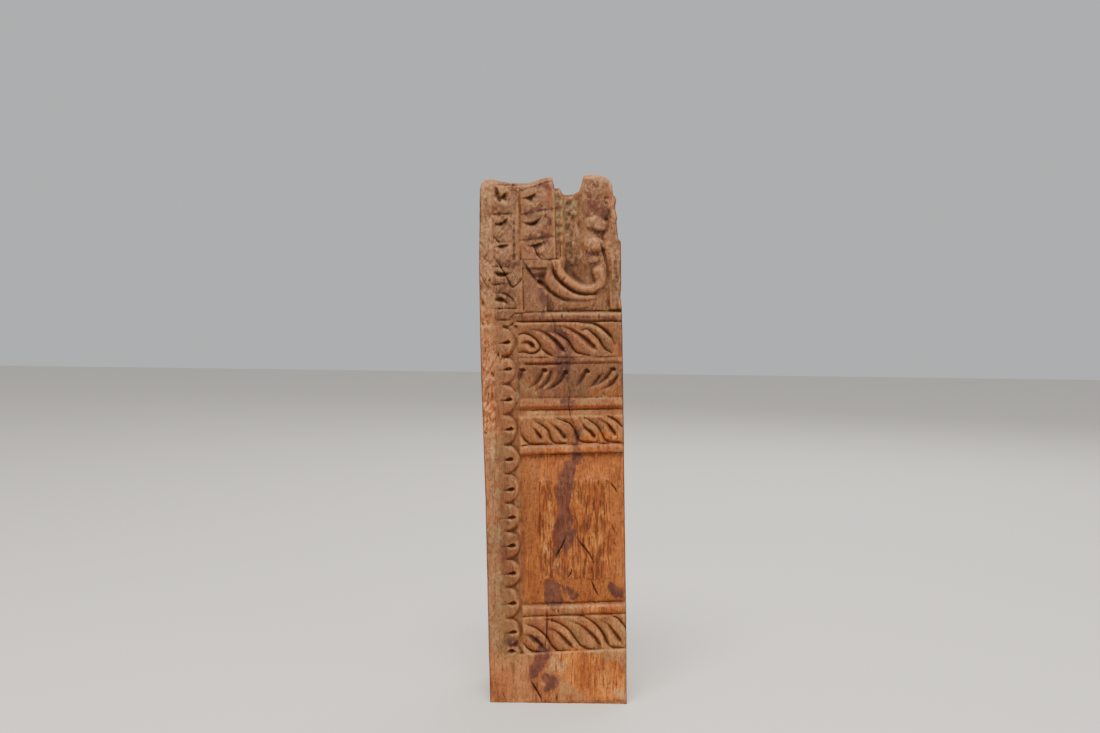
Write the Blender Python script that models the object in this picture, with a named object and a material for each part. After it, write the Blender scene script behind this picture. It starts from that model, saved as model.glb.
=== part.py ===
"""Carved wooden corbel: one upright block of old hardwood with sunk relief on its front.

The block leans a little to the left of its level sawn foot. Across the front it has a plain
fillet and a strip of scallops with keyholes on the left, and beside them a stack of courses:
plinth, running leaves, beads, a hipped panel, drooping leaves, a volute and a broken crown.
Every height is a depth below the front plane, worked out by a function for each course.
"""

import math

import bmesh
import bpy
import numpy as np

# The block, in metres. X runs across the front, Y goes in and Z goes up.
FOOT_WIDTH = 0.1188
BODY_WIDTH = 0.1196
DEPTH = 0.090
LEAN = math.radians(1.7)

# The courses, from the foot up
PLINTH_HEIGHT = 0.0435
LOW_LEAVES_HEIGHT = 0.0320
LOW_BEAD_HEIGHT = 0.0098
PANEL_HEIGHT = 0.1315
PANEL_BEAD_HEIGHT = 0.0086
MIDDLE_LEAVES_HEIGHT = 0.0248
PLAIN_STRIP_HEIGHT = 0.0053
WEDGE_HEIGHT = 0.0105
DROOPING_LEAVES_HEIGHT = 0.0300
RIB_HEIGHT = 0.0055
UPPER_LEAVES_HEIGHT = 0.0300
UPPER_BEAD_HEIGHT = 0.0085
VOLUTE_HEIGHT = 0.0440
CROWN_HEIGHT = 0.0718

# Depths of the surfaces below the front plane
GROUND = 0.0052
STRIP_FACE = 0.0006
LEAF_FACE = 0.0018
BEAD_CREST = 0.0008
BEAD_EDGE = 0.0048
WEDGE_EDGE = 0.0034
RIB_CREST = 0.0016
PLAIN_FACE = 0.0032
DROOPING_FACE = 0.0028
DROOPING_HOLLOW = 0.0012

# Scallop strip on the left
FILLET_WIDTH = 0.0094
SCALLOP_PITCH = 0.02515
SCALLOP_COUNT = 11
SCALLOP_FIRST = 0.0195
SCALLOP_RADIUS = 0.0130
SCALLOP_CENTRE = 0.0153
SCALLOP_ROOT = 0.0182
STRIP_RIGHT = 0.0290
FILLET_GROOVE_WIDTH = 0.0016
FILLET_GROOVE_DEPTH = 0.0012
KEYHOLE_ACROSS = 0.0204
KEYHOLE_WIDTH = 0.0040
KEYHOLE_DEPTH = 0.0050
SLIT_LENGTH = 0.0098
SLIT_DROP = 0.0012
SLIT_WIDTH = 0.0022
SLIT_DEPTH = 0.0026

# Running leaves: three bands share one S-shaped edge, and each leaf has an eye gouged in it
LEAF_SPAN = 1.40
LEAF_TOP_GAP = 0.0028
LEAF_FOOT_GAP = 0.0012
LEAF_EDGE_WIDTH = 0.0030
LEAF_EDGE_DEPTH = 0.0034
LEAF_SHOULDER = 0.0028
LEAF_SHOULDER_DEPTH = 0.0010
EYE_START_WIDTH = 0.0014
EYE_END_WIDTH = 0.0046
EYE_START_DEPTH = 0.0012
EYE_END_DEPTH = 0.0040
LOW_LEAF_PITCH = 0.0250
LOW_LEAF_FIRST = 0.0051
LOW_EYE_SPAN = (0.50, 1.62, 0.78)
MIDDLE_LEAF_PITCH = 0.0223
MIDDLE_LEAF_FIRST = 0.0142
MIDDLE_EYE_SPAN = (0.80, 1.46, 0.64)
UPPER_LEAF_PITCH = 0.0270
UPPER_LEAF_FIRST = 0.0253
UPPER_EYE_SPAN = (0.45, 1.52, 0.86)
CURL_ACROSS = 0.0366
CURL_RISE = 0.0112
CURL_WIDTH = 0.0240
CURL_HEIGHT = 0.0175
WORN_MARGIN = 0.0065
WORN_MARGIN_DEPTH = 0.0022

# Hipped panel
PANEL_LEFT = 0.0300
PANEL_BORDER = 0.0025
PANEL_EDGE_DEPTH = 0.0050
PANEL_FACE_DEPTH = 0.0008
PANEL_SIDE_BEVEL = 0.0160
PANEL_RIGHT_FACE = 0.1060
PANEL_END_BEVEL = 0.0205

# Drooping leaves under the rib
DROOP_PITCH = 0.0184
DROOP_FIRST = 0.0332
DROOP_COUNT = 5
DROOP_EYE_DROP = 0.0068
DROOP_EYE_WIDTH = 0.0042
DROOP_EYE_DEPTH = 0.0052
DROOP_VEIN_WIDTH = 0.0026
DROOP_VEIN_DEPTH = 0.0026
DROOP_REACH = 0.0125
DROOP_FALL = 0.0140

# Volute: a thick roll and a thinner rib sweep down to the right and curl up in a scroll
VOLUTE_GROUND = 0.0066
VOLUTE_LEFT = 0.0345
ROLL_CENTRE = (0.0935, 0.0528)
ROLL_RADIUS = 0.0345
ROLL_WIDTH = 0.0100
ROLL_CREST = 0.0006
SECOND_RIB_WIDTH = 0.0080
SECOND_RIB_CREST = 0.0018
THIRD_RIB_WIDTH = 0.0060
THIRD_RIB_CREST = 0.0026
RIB_OVERLAP = 0.0007
SCROLL_TURN = ((0.0075, 0.0000), (0.0130, 0.0077), (0.0050, 0.0180))
LEDGE_HEIGHT = 0.0075
LEDGE_LENGTH = 0.0225
LEDGE_CREST = 0.0014
FACET_NEAR = 0.0018
FACET_FAR = 0.0034
FACET_CORNER = (0.0505, 0.0225)
FACET_FOOT = 0.0630
CORNER_DEPTH = 0.0088
CORNER_REACH = 0.0160

# Crown: two columns of notched blocks, a deep vertical groove and a column of knobs
BLOCK_ROWS = (0.0165, 0.0242, 0.0311)
FIRST_COLUMN = (0.0108, 0.0276)
SECOND_COLUMN = (0.0328, 0.0622)
BLOCK_GAP = 0.0026
BLOCK_GAP_DEPTH = 0.0026
BLOCK_FACE = 0.0008
BLOCK_SWELL = 0.0008
SECOND_COLUMN_RISE = 0.0035
NOTCH_PLACES = (0.60, 0.50, 0.36)
NOTCH_SPAN = (0.20, 0.66)
NOTCH_RISE = 0.0052
NOTCH_DEPTH = 0.0050
NOTCH_SLANT = 0.0050
NOTCH_WALL = 0.0009
LOW_STRIP_WIDTH = 0.0068
LOW_STRIP_DEPTH = 0.0070
LOW_STRIP_WALL = 0.0012
GROOVE_WIDTH = 0.0190
GROOVE_DEPTH = 0.0190
GROOVE_WALL = 0.0042
KNOB_COLUMN_DEPTH = 0.0052
KNOB_COLUMN_RIGHT = 0.0105
KNOBS = ((0.1010, 0.0665, 0.0150, 0.0135), (0.1000, 0.0418, 0.0140, 0.0112),
         (0.1010, 0.0255, 0.0112, 0.0088), (0.0957, 0.0030, 0.0092, 0.0102))
KNOB_FLATNESS = 1.6
KNOB_CREST = 0.0004
RIDGE_FACE = 0.0024

# The broken crown line: places across the front, and how far each lies below the highest point
CROWN_LINE = ((0.0000, 0.0098), (0.0010, 0.0057), (0.0041, 0.0022), (0.0099, 0.0021),
              (0.0206, 0.0046), (0.0349, 0.0060), (0.0406, 0.0060), (0.0527, 0.0024),
              (0.0614, 0.0010), (0.0626, 0.0110), (0.0680, 0.0105), (0.0699, 0.0160),
              (0.0795, 0.0156), (0.0842, 0.0133), (0.0860, 0.0091), (0.0880, 0.0014),
              (0.0895, 0.0000), (0.1010, 0.0003), (0.1057, 0.0014), (0.1103, 0.0049), (0.1126, 0.0096))
CROWN_BEVEL = 0.0062
CROWN_BEVEL_DEPTH = 0.0034
# The worn right side near the crown: how far below the highest point, and how far it is worn in
WORN_SIDE = ((0.0000, 0.0070), (0.0172, 0.0068), (0.0200, 0.0042), (0.0253, 0.0042),
             (0.0283, 0.0048), (0.0368, 0.0032), (0.0400, 0.0039), (0.0538, 0.0029), (0.0570, 0.0000))
# The left side swells out a little: height above the foot, and how far
LEFT_SIDE = ((0.0000, 0.0000), (0.0700, 0.0005), (0.1800, 0.0008), (0.2400, 0.0016),
             (0.2920, 0.0026), (0.3760, 0.0026), (0.4120, 0.0015), (0.4360, 0.0008), (0.4560, 0.0000))

# Worn arrises, and how the carver's level lines tilt: height above the foot and rise across
ARRIS = 0.0016
LEVEL_TILT = ((0.000, 0.000), (0.0435, 0.030), (0.080, 0.014), (0.220, 0.007), (0.262, 0.000),
              (0.336, -0.010), (0.384, 0.000), (0.500, 0.000))

# Fineness of the faceted solid
FRONT_STEP = 0.00125
CROSS_STEP = 0.0060
KEPT_TRIANGLES = 8800
CURVE_PIECES = 14

COURSES = (("plinth", PLINTH_HEIGHT), ("low_leaves", LOW_LEAVES_HEIGHT),
           ("low_bead", LOW_BEAD_HEIGHT), ("panel", PANEL_HEIGHT),
           ("panel_bead", PANEL_BEAD_HEIGHT), ("middle_leaves", MIDDLE_LEAVES_HEIGHT),
           ("plain_strip", PLAIN_STRIP_HEIGHT), ("wedge", WEDGE_HEIGHT),
           ("drooping_leaves", DROOPING_LEAVES_HEIGHT), ("rib", RIB_HEIGHT),
           ("upper_leaves", UPPER_LEAVES_HEIGHT), ("upper_bead", UPPER_BEAD_HEIGHT),
           ("volute", VOLUTE_HEIGHT), ("crown", CROWN_HEIGHT))


def stack(courses):
    """The bottom and top of each course, and the height of the whole stack."""
    spans = {}
    height = 0.0
    for name, rise in courses:
        spans[name] = (height, height + rise)
        height += rise
    return spans, height


SPANS, TOP = stack(COURSES)


def smooth(x, low, high):
    """Rises softly from 0 at low to 1 at high."""
    t = np.clip((x - low) / (high - low), 0.0, 1.0)
    return t * t * (3.0 - 2.0 * t)


def bezier(start, first, second, end):
    """Points along a cubic curve."""
    t = np.linspace(0.0, 1.0, CURVE_PIECES + 1)[:, None]
    ends = (1 - t) ** 3 * np.array(start) + t ** 3 * np.array(end)
    return ends + 3 * (1 - t) ** 2 * t * np.array(first) + 3 * (1 - t) * t ** 2 * np.array(second)


def arc(centre, radius, start, stop):
    """Points along an arc, with its angles in degrees anticlockwise from the right."""
    turn = np.radians(np.linspace(start, stop, CURVE_PIECES + 1))
    return np.column_stack([centre[0] + radius * np.cos(turn), centre[1] + radius * np.sin(turn)])


def along(points, u, w):
    """Each place's distance from a bent line, its side of it, and the nearest point's share along it."""
    legs = np.diff(points, axis=0)
    lengths = np.hypot(legs[:, 0], legs[:, 1])
    starts = np.concatenate([[0.0], np.cumsum(lengths)[:-1]])
    nearest = np.full(u.shape, np.inf)
    share = np.zeros(u.shape)
    side = np.zeros(u.shape)
    for (pu, pw), (lu, lw), length, start in zip(points, legs, lengths, starts):
        t = np.clip(((u - pu) * lu + (w - pw) * lw) / length ** 2, 0.0, 1.0)
        distance = np.hypot(u - pu - t * lu, w - pw - t * lw)
        closer = distance < nearest
        nearest = np.where(closer, distance, nearest)
        share = np.where(closer, (start + t * length) / lengths.sum(), share)
        side = np.where(closer, np.sign(lu * (w - pw) - lw * (u - pu)), side)
    return nearest, side, share


def groove(points, u, w, widths, depths):
    """Depth of a V cut along a line, with its widths and depths given at equal steps along it."""
    distance, _, share = along(points, u, w)
    half = 0.5 * np.interp(share, np.linspace(0.0, 1.0, len(widths)), widths)
    deep = np.interp(share, np.linspace(0.0, 1.0, len(depths)), depths)
    return deep * np.clip(1.0 - distance / half, 0.0, 1.0)


def rib_depth(points, u, w, width, crest, ground):
    """Depth of a half-round rib along a line, which stands up from the ground."""
    distance = along(points, u, w)[0]
    rise = np.sqrt(np.clip(1.0 - (2.0 * distance / width) ** 2, 0.0, 1.0))
    return ground - (ground - crest) * rise


def bump(u, w, across, up, half_width, half_height):
    """A dome that is 1 at its centre and falls to 0 at its oval edge."""
    reach = ((u - across) / half_width) ** 2 + ((w - up) / half_height) ** 2
    return np.sqrt(np.clip(1.0 - reach, 0.0, 1.0))


def plinth(u, w, low, high):
    return np.zeros(u.shape)


def plain_strip(u, w, low, high):
    return np.full(u.shape, PLAIN_FACE)


def bead(u, w, low, high):
    """A half-round bar with a dark line under it."""
    q = np.clip(np.abs(2.0 * w - low - high) / (high - low), 0.0, 1.0)
    return BEAD_CREST + (BEAD_EDGE - BEAD_CREST) * (1.0 - np.sqrt(1.0 - q * q))


def rib(u, w, low, high):
    q = np.clip(np.abs(2.0 * w - low - high) / (high - low), 0.0, 1.0)
    return RIB_CREST + (DROOPING_FACE - RIB_CREST) * q ** 2


def wedge(u, w, low, high):
    """A bar with two flat faces that meet in a ridge along its middle."""
    q = np.abs(2.0 * w - low - high) / (high - low)
    return BEAD_CREST + (WEDGE_EDGE - BEAD_CREST) * q


def panel(u, w, low, high):
    """A flat face with sloping borders. The block's right side cuts the border there short."""
    side = (u - PANEL_LEFT) / PANEL_SIDE_BEVEL
    right = (PANEL_RIGHT_FACE + PANEL_SIDE_BEVEL - u) / PANEL_SIDE_BEVEL
    foot = (w - low - PANEL_BORDER) / PANEL_END_BEVEL
    head = (high - PANEL_BORDER - w) / PANEL_END_BEVEL
    rise = np.clip(np.minimum(np.minimum(side, right), np.minimum(foot, head)), 0.0, 1.0)
    return PANEL_EDGE_DEPTH - (PANEL_EDGE_DEPTH - PANEL_FACE_DEPTH) * rise


def running_leaves(u, w, low, high, pitch, first, eye_span):
    """S-edged leaves that run to the right. eye_span: start and end across, and fall, as shares."""
    top = high - LEAF_TOP_GAP
    fall = top - low - LEAF_FOOT_GAP
    cut = np.zeros(u.shape)
    shoulder = np.zeros(u.shape)
    for number in range(int((BODY_WIDTH - first) / pitch) + 2):
        left = first + (number - 1) * pitch
        edge = bezier((left, top), (left + 0.52 * pitch, top - 0.04 * fall),
                      (left + (LEAF_SPAN - 0.25) * pitch, top - 1.03 * fall),
                      (left + LEAF_SPAN * pitch, top - fall))
        start, end, drop = eye_span
        eye = bezier((left + start * pitch, top - 0.04 * fall),
                     (left + (start + 0.35) * pitch, top - 0.06 * fall),
                     (left + (end - 0.28) * pitch, top - 0.50 * fall),
                     (left + end * pitch, top - drop * fall))
        distance = along(edge, u, w)[0]
        shoulder = np.maximum(shoulder, np.exp(-(distance / LEAF_SHOULDER) ** 2))
        cut = np.maximum(cut, groove(edge, u, w, (0.3 * LEAF_EDGE_WIDTH, LEAF_EDGE_WIDTH, LEAF_EDGE_WIDTH),
                                     (0.3 * LEAF_EDGE_DEPTH, LEAF_EDGE_DEPTH, LEAF_EDGE_DEPTH)))
        cut = np.maximum(cut, groove(eye, u, w, (EYE_START_WIDTH, EYE_END_WIDTH),
                                     (EYE_START_DEPTH, EYE_END_DEPTH)))
    return LEAF_FACE + LEAF_SHOULDER_DEPTH * shoulder + cut


def low_leaves(u, w, low, high):
    return running_leaves(u, w, low, high, LOW_LEAF_PITCH, LOW_LEAF_FIRST, LOW_EYE_SPAN)


def middle_leaves(u, w, low, high):
    return running_leaves(u, w, low, high, MIDDLE_LEAF_PITCH, MIDDLE_LEAF_FIRST, MIDDLE_EYE_SPAN)


def upper_leaves(u, w, low, high):
    """The upper band starts with a curl, and its right end is worn smooth."""
    leaves = running_leaves(u, w, low, high, UPPER_LEAF_PITCH, UPPER_LEAF_FIRST, UPPER_EYE_SPAN)
    centre = (CURL_ACROSS, low + CURL_RISE)
    ring = arc((0.0, 0.0), 0.5, 140.0, -150.0) * (CURL_WIDTH, CURL_HEIGHT) + centre
    curl = groove(ring, u, w, (LEAF_EDGE_WIDTH, LEAF_EDGE_WIDTH), (LEAF_EDGE_DEPTH, LEAF_EDGE_DEPTH))
    eye = arc((0.0, 0.0), 0.22, 165.0, 20.0) * (CURL_WIDTH, CURL_HEIGHT) + centre
    curl = np.maximum(curl, groove(eye, u, w, (EYE_START_WIDTH, EYE_END_WIDTH, EYE_START_WIDTH),
                                   (EYE_START_DEPTH, EYE_END_DEPTH, EYE_START_DEPTH)))
    inside = np.hypot((u - centre[0]) / CURL_WIDTH, (w - centre[1]) / CURL_HEIGHT) < 0.5
    leaves = np.where(inside, LEAF_FACE + curl, np.maximum(leaves, LEAF_FACE + curl))
    worn = smooth(u, BODY_WIDTH - WORN_MARGIN - LEAF_SHOULDER, BODY_WIDTH - WORN_MARGIN)
    return leaves + (WORN_MARGIN_DEPTH - leaves) * worn


def drooping_leaves(u, w, low, high):
    """Round eyes in a row, with veins that curve down to the left from each."""
    eye_up = high - DROOP_EYE_DROP
    middle = (2.0 * w - low - high) / (high - low)
    cut = np.zeros(u.shape)
    for number in range(DROOP_COUNT):
        across = DROOP_FIRST + number * DROOP_PITCH
        cut = np.maximum(cut, DROOP_EYE_DEPTH * bump(u, w, across, eye_up, 0.5 * DROOP_EYE_WIDTH,
                                                     0.5 * DROOP_EYE_WIDTH))
        for shift, drop in ((0.0, 0.0), (0.5 * DROOP_PITCH, 0.3 * DROOP_FALL)):
            vein = bezier((across + shift, eye_up - drop),
                          (across + shift - 0.2 * DROOP_REACH, eye_up - drop - 0.4 * DROOP_FALL),
                          (across + shift - 0.6 * DROOP_REACH, eye_up - drop - 0.7 * DROOP_FALL),
                          (across + shift - DROOP_REACH, eye_up - DROOP_FALL))
            cut = np.maximum(cut, groove(vein, u, w, (DROOP_VEIN_WIDTH, 0.5 * DROOP_VEIN_WIDTH),
                                         (DROOP_VEIN_DEPTH, 0.4 * DROOP_VEIN_DEPTH)))
    return DROOPING_FACE + DROOPING_HOLLOW * (1.0 - middle ** 2) - DROOPING_HOLLOW + cut


def volute_lines(low):
    """The centre lines of the roll, of the rib under it, and of the short third rib."""
    centre = (ROLL_CENTRE[0], low + ROLL_CENTRE[1])
    sweep = arc(centre, ROLL_RADIUS, 201.0, 270.0)
    turn = bezier(sweep[-1], *(sweep[-1] + np.array(step) for step in SCROLL_TURN))
    roll = np.vstack([sweep, turn[1:]])
    second_reach = ROLL_RADIUS + 0.5 * (ROLL_WIDTH + SECOND_RIB_WIDTH) - RIB_OVERLAP
    second = arc(centre, second_reach, 201.0, 263.0)
    third_reach = second_reach + 0.5 * (SECOND_RIB_WIDTH + THIRD_RIB_WIDTH) - RIB_OVERLAP
    third = arc(centre, third_reach, 244.0, 268.0)
    return roll, second, third


def volute(u, w, low, high):
    """A ledge and a triangular facet on the left, then the roll and its ribs over a sunk ground."""
    corner = (FACET_CORNER[0], low + FACET_CORNER[1])
    diagonal = np.array([(VOLUTE_LEFT, high - 0.3 * LEDGE_HEIGHT), corner, (FACET_FOOT, low)])
    beside = along(diagonal, u, w)[1] > 0.0
    sunk = np.exp(-np.hypot(u - corner[0], w - corner[1]) / CORNER_REACH)
    depth = FACET_FAR + (CORNER_DEPTH - FACET_FAR) * sunk
    facet = FACET_NEAR + (FACET_FAR - FACET_NEAR) * (u - VOLUTE_LEFT) / (FACET_FOOT - VOLUTE_LEFT)
    depth = np.where(beside, depth, facet)
    depth = depth + BLOCK_GAP_DEPTH * np.clip(1.0 - 2.0 * np.abs(u - VOLUTE_LEFT) / BLOCK_GAP, 0.0, 1.0)
    roll, second, third = volute_lines(low)
    reach = np.hypot(u - ROLL_CENTRE[0], w - low - ROLL_CENTRE[1])
    under = smooth(reach, ROLL_RADIUS + ROLL_WIDTH + SECOND_RIB_WIDTH, ROLL_RADIUS + ROLL_WIDTH)
    depth = depth + (VOLUTE_GROUND - depth) * under * (u > corner[0] - ROLL_WIDTH)
    ledge = (w > high - LEDGE_HEIGHT) & (u < VOLUTE_LEFT + LEDGE_LENGTH)
    depth = np.where(ledge, LEDGE_CREST, depth)
    depth = np.minimum(depth, rib_depth(third, u, w, THIRD_RIB_WIDTH, THIRD_RIB_CREST, VOLUTE_GROUND))
    depth = np.minimum(depth, rib_depth(second, u, w, SECOND_RIB_WIDTH, SECOND_RIB_CREST, VOLUTE_GROUND))
    depth = np.where(reach < ROLL_RADIUS, groove_depth(u, w), depth)
    margin = BODY_WIDTH - KNOB_COLUMN_RIGHT
    ridge = smooth(u, margin - GROOVE_WALL, margin)
    depth = depth + (RIDGE_FACE - depth) * ridge
    depth = np.minimum(depth, knob_depth(u, w))
    return np.minimum(depth, rib_depth(roll, u, w, ROLL_WIDTH, ROLL_CREST, GROOVE_DEPTH))


def groove_depth(u, w):
    """The deep vertical groove, with the low strip along its left side and a slope up to the knobs."""
    left = SECOND_COLUMN[1]
    start = left + LOW_STRIP_WIDTH
    strip = LOW_STRIP_DEPTH * smooth(u, left, left + LOW_STRIP_WALL)
    sunk = smooth(u, start, start + GROOVE_WALL)
    risen = smooth(u, start + 0.4 * GROOVE_WIDTH, start + GROOVE_WIDTH)
    depth = strip + (GROOVE_DEPTH - LOW_STRIP_DEPTH) * sunk
    return depth + (KNOB_COLUMN_DEPTH - GROOVE_DEPTH) * risen


def knob_depth(u, w):
    """Worn round knobs, one above the other. Each entry: across, up in the crown, half sizes."""
    base = SPANS["crown"][0]
    depth = np.full(u.shape, np.inf)
    for across, up, half_width, half_height in KNOBS:
        reach = ((u - across) / half_width) ** 2 + ((w - base - up) / half_height) ** 2
        dome = np.sqrt(np.clip(1.0 - reach ** KNOB_FLATNESS, 0.0, 1.0))
        raised = KNOB_COLUMN_DEPTH - (KNOB_COLUMN_DEPTH - KNOB_CREST) * dome
        depth = np.where(dome > 0.0, np.minimum(depth, raised), depth)
    return depth


def notch(u, w, left, low, right, high):
    """Depth of a slanting chisel cut: a steep wall above its line, and a long slope below it."""
    line = np.array([(left, low), (right, high)])
    distance, side, share = along(line, u, w)
    reach = np.where(side > 0.0, NOTCH_WALL, NOTCH_SLANT)
    return NOTCH_DEPTH * (1.0 - 0.6 * share) * np.clip(1.0 - distance / reach, 0.0, 1.0)


def crown_top(u):
    """How high the broken crown line lies at each place across."""
    across, drop = np.array(CROWN_LINE).T
    return TOP - np.interp(u, across, drop)


def crown(u, w, low, high):
    """Notched blocks in two columns and three rows, then the groove, the knobs and the ridge."""
    depth = np.where(u < SECOND_COLUMN[1], BLOCK_FACE, groove_depth(u, w))
    bottoms = low + np.array([0.0, BLOCK_ROWS[0], BLOCK_ROWS[0] + BLOCK_ROWS[1]])
    for column, rise in ((FIRST_COLUMN, 0.0), (SECOND_COLUMN, SECOND_COLUMN_RISE)):
        left, right = column
        inside = (u > left) & (u < right)
        tilt = rise * (u - left) / (right - left)
        for row, bottom in enumerate(bottoms):
            gap = np.clip(1.0 - np.abs(w - bottom - tilt * min(row, 1)) / (0.5 * BLOCK_GAP), 0.0, 1.0)
            depth = np.where(inside, depth + BLOCK_GAP_DEPTH * gap, depth)
            up = bottom + NOTCH_PLACES[row] * BLOCK_ROWS[row]
            start, end = (left + share * (right - left) for share in NOTCH_SPAN)
            cut = notch(u, w, start, up, end, up + NOTCH_RISE)
            depth = np.where(inside, depth + cut, depth)
        swell = (2.0 * u - left - right) / (right - left)
        depth = depth + np.where(inside, BLOCK_SWELL * swell ** 2, 0.0)
        for edge in column:
            line = np.clip(1.0 - 2.0 * np.abs(u - edge) / BLOCK_GAP, 0.0, 1.0)
            depth = depth + BLOCK_GAP_DEPTH * line * (u < SECOND_COLUMN[1] - 0.5 * BLOCK_GAP)
    ridge = smooth(u, BODY_WIDTH - KNOB_COLUMN_RIGHT - GROOVE_WALL, BODY_WIDTH - KNOB_COLUMN_RIGHT)
    knobs = np.minimum(depth, knob_depth(u, w))
    depth = knobs + (np.minimum(knobs, RIDGE_FACE) - knobs) * ridge
    return depth + CROWN_BEVEL_DEPTH * np.clip(1.0 - (crown_top(u) - w) / CROWN_BEVEL, 0.0, 1.0)


def strip_depth(u, w, field):
    """The fillet and the scallop strip on the left, laid over the depths of the field beside them."""
    base = SPANS["plinth"][1]
    inside = u - SCALLOP_ROOT
    cut = FILLET_GROOVE_DEPTH * np.clip(1.0 - np.abs(u - FILLET_WIDTH) / (0.5 * FILLET_GROOVE_WIDTH), 0, 1)
    for number in range(-1, SCALLOP_COUNT):
        up = base + SCALLOP_FIRST + number * SCALLOP_PITCH
        inside = np.minimum(inside, np.hypot(u - SCALLOP_CENTRE, w - up) - SCALLOP_RADIUS)
        if number < 0:
            continue
        slit = np.array([(KEYHOLE_ACROSS, up), (KEYHOLE_ACROSS - SLIT_LENGTH, up - SLIT_DROP)])
        cut = np.maximum(cut, groove(slit, u, w, (SLIT_WIDTH, 0.3 * SLIT_WIDTH),
                                     (SLIT_DEPTH, 0.3 * SLIT_DEPTH)))
        hole = bump(u, w, KEYHOLE_ACROSS, up, 0.5 * KEYHOLE_WIDTH, 0.5 * KEYHOLE_WIDTH)
        cut = np.maximum(cut, KEYHOLE_DEPTH * hole)
    half_hole = bump(u, w, KEYHOLE_ACROSS, base + 0.5 * KEYHOLE_WIDTH, 0.7 * KEYHOLE_WIDTH,
                     0.4 * KEYHOLE_WIDTH)
    cut = np.maximum(cut, KEYHOLE_DEPTH * half_hole)
    top = base + SCALLOP_FIRST + (SCALLOP_COUNT - 0.5) * SCALLOP_PITCH
    crown_start = SPANS["crown"][0]
    scalloped = STRIP_FACE * smooth(u, FILLET_WIDTH, FILLET_WIDTH + FILLET_GROOVE_WIDTH) + cut
    edge = smooth(inside, 0.0, 0.12 * SCALLOP_RADIUS)
    beside = np.where(u < STRIP_RIGHT, GROUND, field)
    strip = scalloped + (beside - scalloped) * edge
    worn = worn_strip(u, w, top, crown_start)
    worn = np.where(u < STRIP_RIGHT, worn, field)
    depth = np.where(w > top, worn, strip)
    depth = np.where((w > crown_start) & (u > FILLET_WIDTH), field, depth)
    return np.where(w < base, field, depth)


def worn_strip(u, w, low, high):
    """Over the scallops the strip is worn: cuts of unequal size, and an eye under an arch."""
    depth = np.full(u.shape, BLOCK_FACE)
    height = high - low
    left = FILLET_WIDTH + 0.5 * FILLET_GROOVE_WIDTH
    right = SCALLOP_ROOT + 0.3 * SCALLOP_RADIUS
    for share in (0.14, 0.32, 0.68):
        up = low + share * height
        line = np.array([(left, up), (right, up)])
        widths = (SLIT_WIDTH, FILLET_GROOVE_WIDTH)
        depths = (FILLET_GROOVE_DEPTH, 0.5 * FILLET_GROOVE_DEPTH)
        depth = np.maximum(depth, BLOCK_FACE + groove(line, u, w, widths, depths))
    for share in (0.14, 0.45, 0.82):
        up = low + share * height
        eye = np.array([(left + 0.3 * (right - left), up + SLIT_DROP), (right, up - SLIT_DROP)])
        depth = np.maximum(depth, BLOCK_FACE + groove(eye, u, w, (KEYHOLE_WIDTH, 0.5 * SLIT_WIDTH),
                                                      (KEYHOLE_DEPTH, 0.5 * SLIT_DEPTH)))
    middle = (left, low + 0.32 * height)
    ring = arc(middle, right - left, 80.0, 15.0)
    return np.maximum(depth, BLOCK_FACE + groove(ring, u, w, (SLIT_WIDTH, KEYHOLE_WIDTH),
                                                 (0.5 * SLIT_DEPTH, 0.5 * SLIT_DEPTH)))


CARVERS = {"plinth": plinth, "low_leaves": low_leaves, "low_bead": bead, "panel": panel,
           "panel_bead": bead, "middle_leaves": middle_leaves, "plain_strip": plain_strip,
           "wedge": wedge, "drooping_leaves": drooping_leaves, "rib": rib,
           "upper_leaves": upper_leaves, "upper_bead": bead, "volute": volute, "crown": crown}


def relief(u, w):
    """Depth below the front plane at each place, across and up the leaning block."""
    depth = np.zeros(u.shape)
    for name, carve in CARVERS.items():
        low, high = SPANS[name]
        if name == "plinth":
            low = -np.inf
        if name == "crown":
            high = np.inf
        here = (w >= low) & (w < high)
        depth[here] = carve(u[here], w[here], *SPANS[name])
    depth = strip_depth(u, w, depth)
    inset = np.minimum(u, right_side(w) - u)
    return depth + np.clip(ARRIS - inset, 0.0, ARRIS)


def divided(marks, step):
    """Places along a line: every mark, with equal steps between them no longer than step."""
    marks = sorted(set(marks))
    places = [marks[0]]
    for start, stop in zip(marks, marks[1:]):
        count = max(1, math.ceil((stop - start) / step))
        places.extend(start + (stop - start) * (number + 1) / count for number in range(count))
    return np.array(places)


def right_side(w):
    """How far across the right side lies: the foot is narrower, and the crown is worn in."""
    below = np.array([row[0] for row in WORN_SIDE])
    worn = np.array([row[1] for row in WORN_SIDE])
    width = FOOT_WIDTH + (BODY_WIDTH - FOOT_WIDTH) * smooth(w, 0.0, SPANS["panel"][0])
    return width - np.interp(TOP - w, below, worn)


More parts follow.
